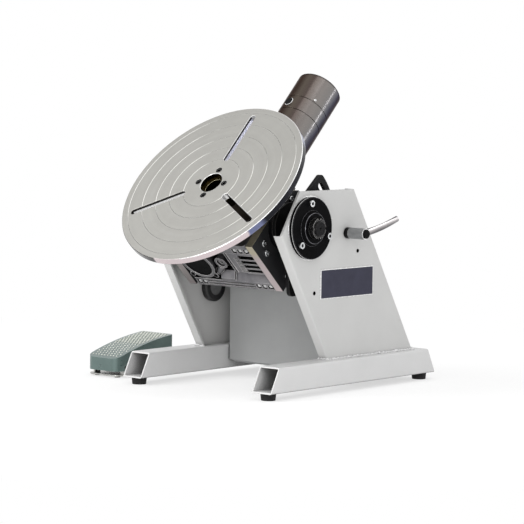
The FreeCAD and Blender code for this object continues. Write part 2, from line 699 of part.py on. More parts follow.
# ---- gear stage and motor ----
def gear_stage():
    """Housing between the worm shaft and the motor, whose axes are side by side."""
    y0 = GEARBOX_REAR
    y1 = y0 + STAGE_LENGTH
    small = WORM_BOSS_DIAMETER / 2 + STAGE_WALL
    large = MOTOR_DIAMETER / 2 + STAGE_WALL / 2
    a = y_rod(small, y0, y1, -WORM_OFFSET, WORM_HEIGHT)
    b = y_rod(large, y0, y1, -MOTOR_OFFSET, MOTOR_HEIGHT)
    link = block(-WORM_OFFSET, -MOTOR_OFFSET, y0, y1, WORM_HEIGHT - small + 1, WORM_HEIGHT + small - 1)
    return fuse([a, b, link])


save("gear_stage", tilted(gear_stage()))

stage_end = GEARBOX_REAR + STAGE_LENGTH
cap_start = MOTOR_END - MOTOR_CAP_LENGTH
ring_start = cap_start - MOTOR_RING_LENGTH
motor_radius = MOTOR_DIAMETER / 2


def seam(y):
    ring = y_rod(motor_radius + 1, y - MOTOR_SEAM / 2, y + MOTOR_SEAM / 2, -MOTOR_OFFSET, MOTOR_HEIGHT)
    return ring.cut(y_rod(motor_radius - 1, y - MOTOR_SEAM, y + MOTOR_SEAM, -MOTOR_OFFSET, MOTOR_HEIGHT))


body = y_rod(motor_radius, stage_end, ring_start, -MOTOR_OFFSET, MOTOR_HEIGHT).cut(seam(ring_start))
save("motor_body", tilted(body))
ring = y_rod(motor_radius, ring_start, cap_start, -MOTOR_OFFSET, MOTOR_HEIGHT)
ring = ring.cut(seam(ring_start)).cut(seam(cap_start))
gland_turn = math.radians(MOTOR_GLAND_ANGLE)
gland_way = vec(math.cos(gland_turn), 0, math.sin(gland_turn))
ring_mid = vec(-MOTOR_OFFSET, ring_start + MOTOR_RING_LENGTH / 2, MOTOR_HEIGHT)
gland_seat = ring_mid + gland_way * (motor_radius - 6)
ring = ring.cut(rod(MOTOR_GLAND_DIAMETER / 2, gland_seat, ring_mid + gland_way * (motor_radius + 9)))
save("motor_ring", tilted(ring))
gland = rod(MOTOR_GLAND_DIAMETER / 2, gland_seat, ring_mid + gland_way * (motor_radius + 2))
save("motor_gland", tilted(gland))
end = y_rod(motor_radius, cap_start, MOTOR_END, -MOTOR_OFFSET, MOTOR_HEIGHT).cut(seam(cap_start))
end = end.makeChamfer(2, [e for e in end.Edges if isinstance(e.Curve, Part.Circle)
                          and e.Curve.Center.y > MOTOR_END - 1])
save("motor_end_cover", tilted(end))


# ---- turning table ----
def about_table(shape):
    moved = shape.copy()
    moved.translate(vec(0, -TABLE_AXIS_SETBACK, 0))
    return moved


def table_screw_places():
    step = 360.0 / TABLE_SCREW_COUNT
    return [turned(TABLE_SCREW_PCD / 2, 90 + step * i) for i in range(TABLE_SCREW_COUNT)]


def faceplate():
    disc = z_rod(TABLE_RADIUS, TABLE_BACK, TABLE_FACE_HEIGHT)
    disc = disc.makeChamfer(TABLE_EDGE_CHAMFER, [e for e in disc.Edges if isinstance(e.Curve, Part.Circle)])
    disc = disc.cut(z_rod(TABLE_BORE / 2, TABLE_BACK - 1, TABLE_FACE_HEIGHT + 1))
    for x, y in table_screw_places():
        disc = disc.cut(z_rod(TABLE_SCREW_SHANK / 2 + 0.5, TABLE_BACK - 1, TABLE_FACE_HEIGHT + 1, x, y))
        disc = disc.cut(z_rod(TABLE_SCREW_HEAD / 2 + 0.6, TABLE_FACE_HEIGHT - 8.6,
                              TABLE_FACE_HEIGHT + 1, x, y))
    half = TABLE_SLOT_WIDTH / 2
    for i in range(TABLE_SLOT_COUNT):
        slot = fuse([
            block(TABLE_SLOT_INNER + half, TABLE_SLOT_OUTER - half, -half, half,
                  TABLE_BACK - 1, TABLE_FACE_HEIGHT + 1),
            z_rod(half, TABLE_BACK - 1, TABLE_FACE_HEIGHT + 1, TABLE_SLOT_INNER + half, 0),
            z_rod(half, TABLE_BACK - 1, TABLE_FACE_HEIGHT + 1, TABLE_SLOT_OUTER - half, 0),
        ])
        slot.rotate(vec(0, 0, 0), Z_AXIS, 90 + 360.0 / TABLE_SLOT_COUNT * i)
        disc = disc.cut(slot)
    return disc


def spindle():
    """Hollow shaft with a flange under the table and a nut thread at its tail."""
    low = -GEARBOX_BOTTOM - 4 - SPINDLE_NUT_THICKNESS - FREE_GAP * 2
    flange = z_rod(SPINDLE_FLANGE / 2, FLANGE_BACK, TABLE_BACK)
    shaft = z_rod(SPINDLE_DIAMETER / 2, low, FLANGE_BACK)
    body = fuse([flange, shaft]).cut(z_rod(SPINDLE_BORE / 2, low - 1, TABLE_FACE_HEIGHT))
    for x, y in table_screw_places():
        body = body.cut(z_rod(TABLE_SCREW_SHANK / 2, FLANGE_BACK - 1, TABLE_BACK + 1, x, y))
    return body


save("faceplate", tilted(about_table(faceplate())))
save("spindle", tilted(about_table(spindle())))
screw_grip = TABLE_THICKNESS - 8.6 + SPINDLE_FLANGE_THICKNESS - 1
screw = socket_screw(TABLE_SCREW_HEAD, 8, TABLE_SCREW_SHANK, screw_grip)
save("faceplate_screws", tilted(about_table(group(
    [aim(screw, Z_AXIS, vec(x, y, TABLE_FACE_HEIGHT - 8.6)) for x, y in table_screw_places()]))))
nut_top = -GEARBOX_BOTTOM - 4 - FREE_GAP * 2
nut = z_rod(SPINDLE_NUT_DIAMETER / 2, nut_top - SPINDLE_NUT_THICKNESS, nut_top)
nut = nut.cut(z_rod(SPINDLE_DIAMETER / 2, nut_top - 50, nut_top + 1))
for i in range(4):
    slot = block(SPINDLE_NUT_DIAMETER / 2 - 4, SPINDLE_NUT_DIAMETER, -4, 4, nut_top - 50, nut_top + 1)
    slot.rotate(vec(0, 0, 0), Z_AXIS, 90 * i)
    nut = nut.cut(slot)
save("spindle_nut", tilted(about_table(nut)))


# ---- clamp lever ----
stud_radius = LEVER_STUD / 2
spacer = x_rod(stud_radius + 4, SECTOR_OUT + FREE_GAP, FRAME_INNER, LEVER_BEHIND, lever_z)
spacer = spacer.cut(x_rod(stud_radius, SECTOR_IN, FRAME_OUTER, LEVER_BEHIND, lever_z))
save("clamp_spacer", from_pivot(spacer))
collar_end = FRAME_OUTER + LEVER_COLLAR_LENGTH
collar = x_rod(LEVER_COLLAR_RADIUS, FRAME_OUTER, collar_end, LEVER_BEHIND, lever_z)
collar = collar.cut(x_rod(stud_radius, FRAME_OUTER - 1, collar_end + 1, LEVER_BEHIND, lever_z))
save("clamp_collar", from_pivot(collar))
hub_start = collar_end + FREE_GAP
hub_end = hub_start + LEVER_HUB_LENGTH
hub = x_rod(LEVER_HUB_RADIUS, hub_start, hub_end, LEVER_BEHIND, lever_z)
hub = hub.cut(x_rod(stud_radius + RUNNING_FIT, hub_start - 1, hub_end - 8, LEVER_BEHIND, lever_z))
arm_root = vec(hub_end - LEVER_ARM_DIAMETER / 2 - 2, LEVER_BEHIND, lever_z)
arm_tip = arm_root + vec(LEVER_ARM_OUT, LEVER_ARM_BACK, LEVER_ARM_UP)
arm_bend = arm_root + vec(LEVER_ARM_OUT * 0.45, LEVER_ARM_BACK * 0.48, LEVER_ARM_UP * 0.36)
arm_radius = LEVER_ARM_DIAMETER / 2


def mitred(start, bend, tip, radius):
    """Two rods that meet at a bend, both cut on the plane that halves it."""
    first = (bend - start).normalize()
    second = (tip - bend).normalize()
    split = first + second
    far = radius * 4
    near_side = Part.makeBox(far * 2, far * 2, far, vec(-far, -far, -far))
    near_side = aim(near_side, split, bend)
    inner = rod(radius, start, bend + first * radius).cut(aim(
        Part.makeBox(far * 2, far * 2, far, vec(-far, -far, 0)), split, bend))
    outer = rod(radius, bend - second * radius, tip)
    outer = outer.makeChamfer(radius * 0.4, [e for e in outer.Edges if isinstance(e.Curve, Part.Circle)
                                             and (e.Curve.Center - tip).Length < 0.01])
    return fuse([inner, outer.cut(near_side)])


arm = mitred(arm_root, arm_bend, arm_tip, arm_radius)
arm = arm.cut(x_rod(LEVER_HUB_RADIUS, FRAME_OUTER, hub_end + 50, LEVER_BEHIND, lever_z))
save("clamp_lever_hub", from_pivot(hub))
save("clamp_lever_arm", from_pivot(arm))
cap = x_rod(LEVER_CAP_RADIUS, hub_end, hub_end + LEVER_CAP_LENGTH, LEVER_BEHIND, lever_z)
cap = cap.makeChamfer(1.5, [e for e in cap.Edges if isinstance(e.Curve, Part.Circle)
                            and e.Curve.Center.x > hub_end + 1])
save("clamp_lever_cap", from_pivot(cap))
nut_length = TRUNNION_FLANGE_THICKNESS - 2 * FREE_GAP
nut_in = SECTOR_IN - FREE_GAP - nut_length
stud = x_rod(stud_radius, nut_in, hub_end - 8 - FREE_GAP, LEVER_BEHIND, lever_z)
save("clamp_stud", from_pivot(stud))
corners = [turned(11, 60 * i) for i in range(7)]
corners = [vec(nut_in, LEVER_BEHIND + y, lever_z + z) for y, z in corners]
nut = Part.Face(Part.makePolygon(corners)).extrude(vec(nut_length, 0, 0))
nut = nut.cut(x_rod(stud_radius, 0, FRAME_OUTER, LEVER_BEHIND, lever_z))
save("clamp_nut", from_pivot(nut))


# ---- nameplate and earth socket ----
plate = block(FRAME_OUTER, FRAME_OUTER + PLATE_THICKNESS, PLATE_MID_Y - PLATE_LENGTH / 2,
              PLATE_MID_Y + PLATE_LENGTH / 2,
               PLATE_MID_Z - PLATE_HEIGHT / 2, PLATE_MID_Z + PLATE_HEIGHT / 2)
plate = round_edges(plate, 2, lambda e: along(e, X_AXIS))
save("nameplate", from_pivot(plate))

ring = x_rod(EARTH_RADIUS, -FRAME_INNER, -FRAME_INNER + EARTH_PROUD, EARTH_Y, EARTH_Z)
ring = ring.makeChamfer(3, [e for e in ring.Edges if isinstance(e.Curve, Part.Circle)
                            and e.Curve.Center.x > -FRAME_INNER + 1])
ring = ring.cut(x_rod(EARTH_CORE_RADIUS, -FRAME_OUTER, 0, EARTH_Y, EARTH_Z))
save("earth_socket_ring", from_pivot(ring))
core = x_rod(EARTH_CORE_RADIUS, -FRAME_OUTER - 12, -FRAME_INNER + EARTH_PROUD - 2, EARTH_Y, EARTH_Z)
core = core.cut(x_rod(7, -FRAME_OUTER - 13, -FRAME_OUTER + 14, EARTH_Y, EARTH_Z))
save("earth_socket_core", from_pivot(core))


# ---- control box between the frames ----
def rear_line(z, inset):
    return FRAME_TOP_REAR + (FRAME_TOP - z) * REAR_SLOPE - inset


def box_outline(grow):
    return [
        (BOX_FRONT - grow, BOX_BOTTOM - grow),
        (BOX_FRONT - grow, BOX_TOP + grow),
        (rear_line(BOX_TOP, BOX_REAR_INSET), BOX_TOP + grow),
        (rear_line(BOX_BOTTOM, BOX_REAR_INSET), BOX_BOTTOM - grow),
    ]


shell = x_prism(box_outline(0), -BOX_HALF_WIDTH, BOX_HALF_WIDTH)
inside = [
    (BOX_FRONT + BOX_SHEET, BOX_BOTTOM + BOX_SHEET),
    (BOX_FRONT + BOX_SHEET, BOX_TOP - BOX_SHEET),
    (rear_line(BOX_TOP - BOX_SHEET, BOX_REAR_INSET) + 20, BOX_TOP - BOX_SHEET),
    (rear_line(BOX_BOTTOM + BOX_SHEET, BOX_REAR_INSET) + 20, BOX_BOTTOM + BOX_SHEET),
]
shell = shell.cut(x_prism(inside, -BOX_HALF_WIDTH + BOX_SHEET, BOX_HALF_WIDTH - BOX_SHEET))
save("control_box", from_pivot(shell))

lip_half = BOX_HALF_WIDTH - BOX_LIP_SETBACK
lip = block(-lip_half, lip_half, BOX_FRONT + BOX_LIP_SETBACK,
            rear_line(BOX_BOTTOM, BOX_REAR_INSET) - BOX_LIP_SETBACK,
            BOX_BOTTOM - BOX_LIP, BOX_BOTTOM)
save("box_base_plate", from_pivot(lip))

panel = x_prism([
    (rear_line(BOX_TOP, BOX_REAR_INSET), BOX_TOP),
    (rear_line(BOX_TOP, BOX_REAR_INSET) + PANEL_THICKNESS, BOX_TOP),
    (rear_line(BOX_BOTTOM, BOX_REAR_INSET) + PANEL_THICKNESS, BOX_BOTTOM),
    (rear_line(BOX_BOTTOM, BOX_REAR_INSET), BOX_BOTTOM),
], -BOX_HALF_WIDTH, BOX_HALF_WIDTH)
PANEL_WAY = vec(0, 1, REAR_SLOPE).normalize()


def on_panel(x, z, out=0.0):
    """A point on the outside of the sloping panel at a height, or that far out of it."""
    return vec(x, rear_line(z, BOX_REAR_INSET) + PANEL_THICKNESS, z) + PANEL_WAY * out


CONTROLS = {
    "speed_knob": (-80.0, CONTROL_HEIGHT, 5.0),
    "direction_switch": (-20.0, CONTROL_HEIGHT, 5.0),
    "power_switch": (35.0, CONTROL_HEIGHT, 8.0),
    "emergency_stop": (90.0, CONTROL_HEIGHT, 8.0),
}
for x, z, radius in CONTROLS.values():
    panel = panel.cut(rod(radius + RUNNING_FIT, on_panel(x, z, -8), on_panel(x, z, 3)))
for x, radius in ((-60.0, 11.0), (60.0, 9.0), (0.0, 6.0)):
    panel = panel.cut(rod(radius, on_panel(x, SOCKET_HEIGHT, -8), on_panel(x, SOCKET_HEIGHT, 3)))
save("control_panel", from_pivot(panel))


def knob(name, radius, height, stem, pointer, lift=FREE_GAP):
    x, z, hole = CONTROLS[name]
    cap = rod(radius, on_panel(x, z, lift), on_panel(x, z, height))
    shaft = rod(hole, on_panel(x, z, -stem), on_panel(x, z, lift))
    shape = fuse([cap, shaft])
    if pointer:
        tab = block(-1.5, 1.5, -radius - 1, -radius * 0.3, height - 1, height + 1)
        shape = shape.cut(aim(tab, PANEL_WAY, on_panel(x, z, 0)))
    return shape


save("speed_knob", from_pivot(knob("speed_knob", 14, 16, 14, True)))
save("direction_switch", from_pivot(knob("direction_switch", 11, 14, 14, True)))
save("emergency_stop", from_pivot(knob("emergency_stop", 18, 26, 14, False, STOP_TRAVEL + 2)))
save("power_switch", from_pivot(knob("power_switch", 11, 12, 12, True)))
socket = rod(11, on_panel(-60, SOCKET_HEIGHT, -20), on_panel(-60, SOCKET_HEIGHT, 10))
flange = rod(15, on_panel(-60, SOCKET_HEIGHT, 0), on_panel(-60, SOCKET_HEIGHT, 3))
socket = fuse([socket, flange])
socket = socket.cut(rod(7.5, on_panel(-60, SOCKET_HEIGHT, 2), on_panel(-60, SOCKET_HEIGHT, 12)))
save("pedal_socket", from_pivot(socket))
inlet = fuse([rod(9, on_panel(60, SOCKET_HEIGHT, -12), on_panel(60, SOCKET_HEIGHT, 4)),
              rod(12, on_panel(60, SOCKET_HEIGHT, 0), on_panel(60, SOCKET_HEIGHT, 18))])
inlet = inlet.cut(rod(4.5, on_panel(60, SOCKET_HEIGHT, -13), on_panel(60, SOCKET_HEIGHT, 20)))
save("mains_gland", from_pivot(inlet))
lamp = fuse([rod(6, on_panel(0, SOCKET_HEIGHT, -12), on_panel(0, SOCKET_HEIGHT, 0)),
             rod(8, on_panel(0, SOCKET_HEIGHT, 0), on_panel(0, SOCKET_HEIGHT, 6))])
save("pilot_lamp", from_pivot(lamp))
floor_z = BOX_BOTTOM + BOX_SHEET
x1 = BOX_HALF_WIDTH - TRANSFORMER_INSET
x0 = x1 - TRANSFORMER_WIDTH
y0 = BOX_FRONT + CONTENTS_SETBACK
y1 = y0 + TRANSFORMER_DEPTH
top = floor_z + TRANSFORMER_HEIGHT
leg = TRANSFORMER_LEG
core = block(x0, x1, y0, y1, floor_z, top)
coil = block(x0 + leg, x1 - leg, y0 - COIL_OVERHANG, y1 + COIL_OVERHANG, floor_z + leg, top - leg)
save("transformer", from_pivot(fuse([core, coil])))
x0 = -BOX_HALF_WIDTH + BOARD_INSET
x1 = x0 + BOARD_LENGTH
y1 = y0 + BOARD_DEPTH
lift = floor_z + BOARD_LIFT
sink_z = lift + BOARD_THICKNESS
sink = (BOARD_DEPTH - HEATSINK_DEPTH) / 2
board = [block(x0, x1, y0, y1, lift, sink_z),
         block(x0 + sink, x0 + sink + HEATSINK_LENGTH, y0 + sink, y1 - sink,
               sink_z, sink_z + HEATSINK_HEIGHT)]
for x in (x0 + BOARD_LIFT / 2, x1 - BOARD_LIFT / 2):
    for y in (y0 + BOARD_LIFT / 2, y1 - BOARD_LIFT / 2):
        board.append(z_rod(BOARD_LIFT * 0.3, floor_z, lift, x, y))
save("drive_board", from_pivot(fuse(board)))


def box_bracket(y, z):
    """Channel that joins the right side of the box to the right side frame."""
    y0 = y - BRACKET_LENGTH / 2
    y1 = y + BRACKET_LENGTH / 2
    z0 = z - BRACKET_HEIGHT / 2
    z1 = z + BRACKET_HEIGHT / 2
    web = block(BOX_HALF_WIDTH, FRAME_INNER, y0, y1, z1 - BRACKET_SHEET, z1)
    inner = block(BOX_HALF_WIDTH, BOX_HALF_WIDTH + BRACKET_SHEET, y0, y1, z0, z1)
    outer = block(FRAME_INNER - BRACKET_SHEET, FRAME_INNER, y0, y1, z0, z1)
    return fuse([web, inner, outer])


low_bracket = (BOX_BOTTOM + TUBE_TOP) / 2 + FRAME_FLANGE * 2
brackets = [
    (BOX_FRONT + BRACKET_INSET, BOX_TOP - BRACKET_INSET),
    (BOX_FRONT + BRACKET_INSET, low_bracket),
    (rear_line(low_bracket, BOX_REAR_INSET) - BRACKET_REAR_INSET, low_bracket),
]
right = [box_bracket(y, z) for y, z in brackets]
save("box_brackets", from_pivot(group(right + [mirrored(b) for b in right])))


# ---- foot pedal ----
def pedal_outline(inset):
    """Plan of the pedal as a face at floor level, drawn in by an inset."""
    x1 = PEDAL_RIGHT - inset
    x0 = PEDAL_RIGHT - PEDAL_WIDTH + inset
    y0 = PEDAL_FRONT + inset
    y1 = PEDAL_FRONT + PEDAL_LENGTH - inset
    solid = block(x0, x1, y0, y1, 0, PEDAL_REAR_HEIGHT + 20)
    front = [e for e in solid.Edges if along(e, Z_AXIS) and e.Vertexes[0].Y < y0 + 1]
    rear = [e for e in solid.Edges if along(e, Z_AXIS) and e.Vertexes[0].Y > y1 - 1]
    solid = solid.makeFillet(PEDAL_CORNER - inset, front)
    rear = [e for e in solid.Edges if along(e, Z_AXIS) and e.Vertexes[0].Y > y1 - 1]
    return solid.makeFillet(PEDAL_REAR_CORNER - inset, rear)


def under_tread(drop, low):
    """Everything below the curved tread, lowered by a drop, down to a level."""
    y0 = PEDAL_FRONT
    y1 = PEDAL_FRONT + PEDAL_LENGTH
    x0 = PEDAL_RIGHT - PEDAL_WIDTH - 5
    z0 = PEDAL_FRONT_HEIGHT - drop
    z1 = PEDAL_REAR_HEIGHT - drop
    slope = (z1 - z0) / (y1 - y0)
    start = vec(x0, y0 - 10, z0 - slope * 10)
    crest = vec(x0, (y0 + y1) / 2, (z0 + z1) / 2 + PEDAL_CROWN)
    finish = vec(x0, y1 + 10, z1 + slope * 10 - PEDAL_CROWN * 0.5)
    arc = Part.Arc(start, crest, finish).toShape()
    base = [vec(x0, y1 + 10, low), vec(x0, y0 - 10, low)]
    lines = [Part.makeLine(finish, base[0]), Part.makeLine(base[0], base[1]), Part.makeLine(base[1], start)]
    face = Part.Face(Part.Wire([arc] + lines))
    return face.extrude(vec(PEDAL_WIDTH + 10, 0, 0))


skirt = PEDAL_FOOT + PEDAL_BASE + PEDAL_TRAVEL_GAP
pin_y = PEDAL_FRONT + PEDAL_PIN_Y
cover = pedal_outline(0).common(under_tread(0, skirt))
hollow = pedal_outline(PEDAL_WALL).common(under_tread(PEDAL_WALL, 0))
cover = cover.cut(hollow)
mid_x = PEDAL_RIGHT - PEDAL_WIDTH / 2
seat = PEDAL_FOOT + PEDAL_BASE
spring_y = pin_y + 105
spring_top = seat + PEDAL_SPRING_LENGTH
post = z_rod(8, spring_top, PEDAL_REAR_HEIGHT + 10, mid_x, spring_y).common(under_tread(PEDAL_WALL / 2, 0))
pedal_rear = PEDAL_FRONT + PEDAL_LENGTH
gland_z = seat + PEDAL_GLAND
notch_half = PEDAL_GLAND / 2 + 3
notch = block(mid_x - notch_half, mid_x + notch_half, pedal_rear - PEDAL_WALL - 2, pedal_rear + 1,
              0, gland_z + PEDAL_GLAND / 2 + PEDAL_TRAVEL_GAP + 1)
cover = fuse([cover, post]).cut(notch)
pin_radius = PEDAL_PIN_DIAMETER / 2
pedal_left = PEDAL_RIGHT - PEDAL_WIDTH
pin_hole = x_rod(pin_radius + RUNNING_FIT, pedal_left - 1, PEDAL_RIGHT + 1, pin_y, PEDAL_PIN_Z)
cover = cover.cut(pin_hole)
save("pedal_cover", from_pivot(cover))
base = pedal_outline(1).common(block(pedal_left, PEDAL_RIGHT, PEDAL_FRONT, PEDAL_FRONT + PEDAL_LENGTH,
                                     PEDAL_FOOT, PEDAL_FOOT + PEDAL_BASE))
lugs = []
for x0 in (pedal_left + PEDAL_WALL + 1, PEDAL_RIGHT - PEDAL_WALL - 5):
    lug = block(x0, x0 + 4, pin_y - 8, pin_y + 8, PEDAL_FOOT + PEDAL_BASE - 1, PEDAL_PIN_Z)
    lugs.append(fuse([lug, x_rod(8, x0, x0 + 4, pin_y, PEDAL_PIN_Z)]))
stand = block(mid_x - PEDAL_GLAND / 2, mid_x + PEDAL_GLAND / 2,
              pedal_rear - 12, pedal_rear - 8, seat - 1, gland_z + 9)
base = fuse([base, stand] + lugs)
base = base.cut(x_rod(pin_radius, pedal_left - 1, PEDAL_RIGHT + 1, pin_y, PEDAL_PIN_Z))
base = base.cut(y_rod(PEDAL_GLAND / 2 - 2, pedal_rear - 20, pedal_rear, mid_x, gland_z))
save("pedal_base", from_pivot(base))
pin = x_rod(pin_radius, pedal_left, PEDAL_RIGHT, pin_y, PEDAL_PIN_Z)
save("pedal_pin", from_pivot(pin))
pads = [z_rod(6, 0, PEDAL_FOOT, x, y) for x in (pedal_left + 16, PEDAL_RIGHT - 16)
        for y in (PEDAL_FRONT + 18, PEDAL_FRONT + PEDAL_LENGTH - 14)]
save("pedal_feet", from_pivot(group(pads)))
gland = fuse([y_rod(PEDAL_GLAND / 2 - 2, pedal_rear - 16, pedal_rear - 7, mid_x, gland_z),
              y_rod(PEDAL_GLAND / 2, pedal_rear - 8, pedal_rear + 8, mid_x, gland_z)])
gland = gland.cut(y_rod(2.5, pedal_rear - 20, pedal_rear + 10, mid_x, gland_z))
save("pedal_gland", from_pivot(gland))
switch_seat = PEDAL_FOOT + PEDAL_BASE
switch = block(mid_x - 12, mid_x + 12, pin_y + 50, pin_y + 80, switch_seat, switch_seat + 28)
save("pedal_switch", from_pivot(switch))
spring = z_rod(7, seat, spring_top, mid_x, spring_y)
spring = spring.cut(z_rod(5, seat - 1, spring_top + 1, mid_x, spring_y))
save("pedal_spring", from_pivot(spring))

print("nodes written:", len([n for n in os.listdir("parts") if n.endswith(".step")]))
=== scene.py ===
import json
import math

import bmesh
import bpy
from mathutils import Matrix, Vector


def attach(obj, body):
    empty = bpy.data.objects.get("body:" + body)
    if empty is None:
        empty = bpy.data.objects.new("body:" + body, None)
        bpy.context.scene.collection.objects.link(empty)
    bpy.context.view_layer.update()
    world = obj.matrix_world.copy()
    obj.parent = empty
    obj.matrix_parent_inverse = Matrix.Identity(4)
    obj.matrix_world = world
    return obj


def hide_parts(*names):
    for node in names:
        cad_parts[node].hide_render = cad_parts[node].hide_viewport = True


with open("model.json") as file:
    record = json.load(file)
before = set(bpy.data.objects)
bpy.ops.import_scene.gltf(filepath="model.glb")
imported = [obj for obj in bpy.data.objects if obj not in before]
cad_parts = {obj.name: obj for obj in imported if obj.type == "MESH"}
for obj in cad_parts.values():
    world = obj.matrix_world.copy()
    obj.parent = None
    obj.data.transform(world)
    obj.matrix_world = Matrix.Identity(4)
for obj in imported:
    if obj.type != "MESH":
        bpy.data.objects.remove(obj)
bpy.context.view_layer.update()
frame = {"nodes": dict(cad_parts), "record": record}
scene = bpy.context.scene

# the tilt axis in metres, the ways of the head at rest, and places on the head in millimetres from that axis
pivot = Vector((0.0, -0.129, 0.326))
restTilt = math.radians(46.0)
headAlong = Vector((0.0, math.cos(restTilt), math.sin(restTilt)))    # towards the motor
headUp = Vector((0.0, -math.sin(restTilt), math.cos(restTilt)))      # out of the table face
sideways = Vector((1.0, 0.0, 0.0))
upward = Vector((0.0, 0.0, 1.0))
places = {"tableAlong": -3.0, "tableFace": 124.0, "motorX": -41.0, "motorUp": -23.0, "motorRadius": 48.0,
          "wormX": -75.0, "wormUp": -25.0, "wormFront": -92.0, "gearboxEnd": 86.0,
          "cheekRight": 111.0, "cheekLeft": -135.0}
white = (1.0, 1.0, 1.0, 1.0)


def headPoint(x, along, up):
    return pivot + (sideways * x + headAlong * along + headUp * up) / 1000.0


def headMatrix(x, along, up):
    basis = Matrix((sideways, headAlong, headUp)).transposed().to_4x4()
    return Matrix.Translation(headPoint(x, along, up)) @ basis


tableCentre = headPoint(0.0, places["tableAlong"], places["tableFace"])
motorAxis = headPoint(places["motorX"], 0.0, places["motorUp"])


# node helpers
def feed(tree, node, links):
    for label, value in links.items():
        if isinstance(value, bpy.types.NodeSocket):
            tree.links.new(value, node.inputs[label])
        else:
            node.inputs[label].default_value = value


def addNode(tree, kind, links=None, **values):
    node = tree.nodes.new(kind)
    for label, value in values.items():
        setattr(node, label, value)
    feed(tree, node, links or {})
    return node


def addOut(tree, kind, links=None, **values):
    return addNode(tree, kind, links, **values).outputs[0]


def addMath(tree, operation, *values, clamp=False):
    return addOut(tree, "ShaderNodeMath", dict(enumerate(values)), operation=operation, use_clamp=clamp)


def addVectorMath(tree, operation, *values):
    node = addNode(tree, "ShaderNodeVectorMath", dict(enumerate(values)), operation=operation)
    return node.outputs["Value" if operation in ("DOT_PRODUCT", "LENGTH") else "Vector"]


def addVector(tree, x=0.0, y=0.0, z=0.0):
    return addOut(tree, "ShaderNodeCombineXYZ", {"X": x, "Y": y, "Z": z})


# material helpers
def startMaterial(name):
    mat = bpy.data.materials.new(name)
    mat.use_nodes = True
    tree = mat.node_tree
    shader = tree.nodes["Principled BSDF"]
    place = tree.nodes.new("ShaderNodeTexCoord").outputs["Object"]
    return mat, tree, shader, place


def linear(red, green, blue):
    def one(v):
        v = v / 255.0
        return v / 12.92 if v <= 0.04045 else ((v + 0.055) / 1.055) ** 2.4
    return one(red), one(green), one(blue), 1.0


def addAlong(tree, place, origin, way):
    # distance from the origin along a way
    return addVectorMath(tree, "DOT_PRODUCT", addVectorMath(tree, "SUBTRACT", place, origin), way)


def addNoise(tree, place, size, detail=3.0, rough=0.55, stretch=(1.0, 1.0, 1.0), turn=(0.0, 0.0, 0.0)):
    spot = addOut(tree, "ShaderNodeMapping", {"Vector": place, "Rotation": turn, "Scale": stretch})
    noise = addNode(tree, "ShaderNodeTexNoise", {"Vector": spot, "Scale": 1.0 / size, "Detail": detail,
                                                 "Roughness": rough})
    return noise.outputs["Fac"]


def addRange(tree, value, low, high, fromLow=0.3, fromHigh=0.7):
    return addOut(tree, "ShaderNodeMapRange", {"Value": value, "From Min": fromLow, "From Max": fromHigh,
                                               "To Min": low, "To Max": high})


def addMix(tree, factor, a, b):
    first, second = (linear(*colour) if isinstance(colour, tuple) else colour for colour in (a, b))
    return addNode(tree, "ShaderNodeMix", {0: factor, 6: first, 7: second}, data_type="RGBA").outputs[2]


def addBump(tree, height, distance, below):
    bump = addNode(tree, "ShaderNodeBump", {"Strength": 1.0, "Distance": distance, "Height": height})
    if below is not None:
        tree.links.new(below, bump.inputs["Normal"])
    return bump.outputs["Normal"]


def addRoundEdge(tree, width):
    # shading normal of a slightly rounded edge, and how far along the rounding a point is
    rounded = addOut(tree, "ShaderNodeBevel", {"Radius": width}, samples=6)
    plain = tree.nodes.new("ShaderNodeNewGeometry").outputs["Normal"]
    match = addVectorMath(tree, "DOT_PRODUCT", rounded, plain)
    return rounded, addRange(tree, match, 1.0, 0.0, 0.80, 0.995)


def addCorners(tree, reach, low, high):
    # 0 in the open, rising to 1 in corners and slots; the finishes darken their colour with it as painted shade
    shade = addNode(tree, "ShaderNodeAmbientOcclusion", {"Distance": reach}, samples=8)
    return addRange(tree, shade.outputs["AO"], 1.0, 0.0, low, high)


def addBands(tree, share, bands):
    ramp = addNode(tree, "ShaderNodeValToRGB", {0: share})
    stops = ramp.color_ramp.elements
    while len(stops) < len(bands):
        stops.new(0.5)
    for stop, (position, shade) in zip(stops, bands):
        stop.position = position
        stop.color = linear(*shade)
    return ramp.outputs[0]


def patchyFinish(name, look):
    # paint, metal, rubber or plastic with patches, a grain, worn edges lightened further as painted highlights,
    # and painted shade in corners
    mat, tree, shader, place = startMaterial(name)
    first, second, patchSize = look["patches"]
    colour = addMix(tree, addRange(tree, addNoise(tree, place, patchSize, 4.0), 0.0, 1.0), first, second)
    if "specks" in look:
        speck, size, amount = look["specks"]
        specks = addNoise(tree, place, size, 2.0, 0.5)
        colour = addMix(tree, addRange(tree, specks, 0.0, amount, 0.60, 0.72), colour, speck)
    if "cornerShade" in look:
        # painted shade: this colour darkens corners and slots
        dull, reach, *between = look["cornerShade"]
        colour = addMix(tree, addCorners(tree, reach, *(between or (0.15, 0.8))), colour, dull)
    width, *wornAndLit = look.get("edge", (None,))
    rounded, litWornEdge = addRoundEdge(tree, width) if width else (None, None)
    # worn edges, made lighter than wear alone as painted edge highlights
    if wornAndLit:
        colour = addMix(tree, addMath(tree, "MULTIPLY", litWornEdge, wornAndLit[1]), colour, wornAndLit[0])
    size, depth, *stretch = look["grain"]
    grain = addNoise(tree, place, size, 2.0, 0.5, *stretch)
    gloss = addRange(tree, addNoise(tree, place, patchSize * 0.4, 3.0), *look["gloss"])
    bump = addBump(tree, grain, depth, rounded)
    tint = look.get("edgeTint", 1.0)
    feed(tree, shader, {"Base Color": colour, "Roughness": gloss, "Normal": bump,
                        "Metallic": look.get("metal", 0.0), "Specular IOR Level": look.get("shine", 0.5),
                        "Specular Tint": (tint, tint, tint, 1.0), "Coat Weight": look.get("coat", 0.0),
                        "Coat Roughness": look.get("coatRoughness", 0.1)})
    return mat
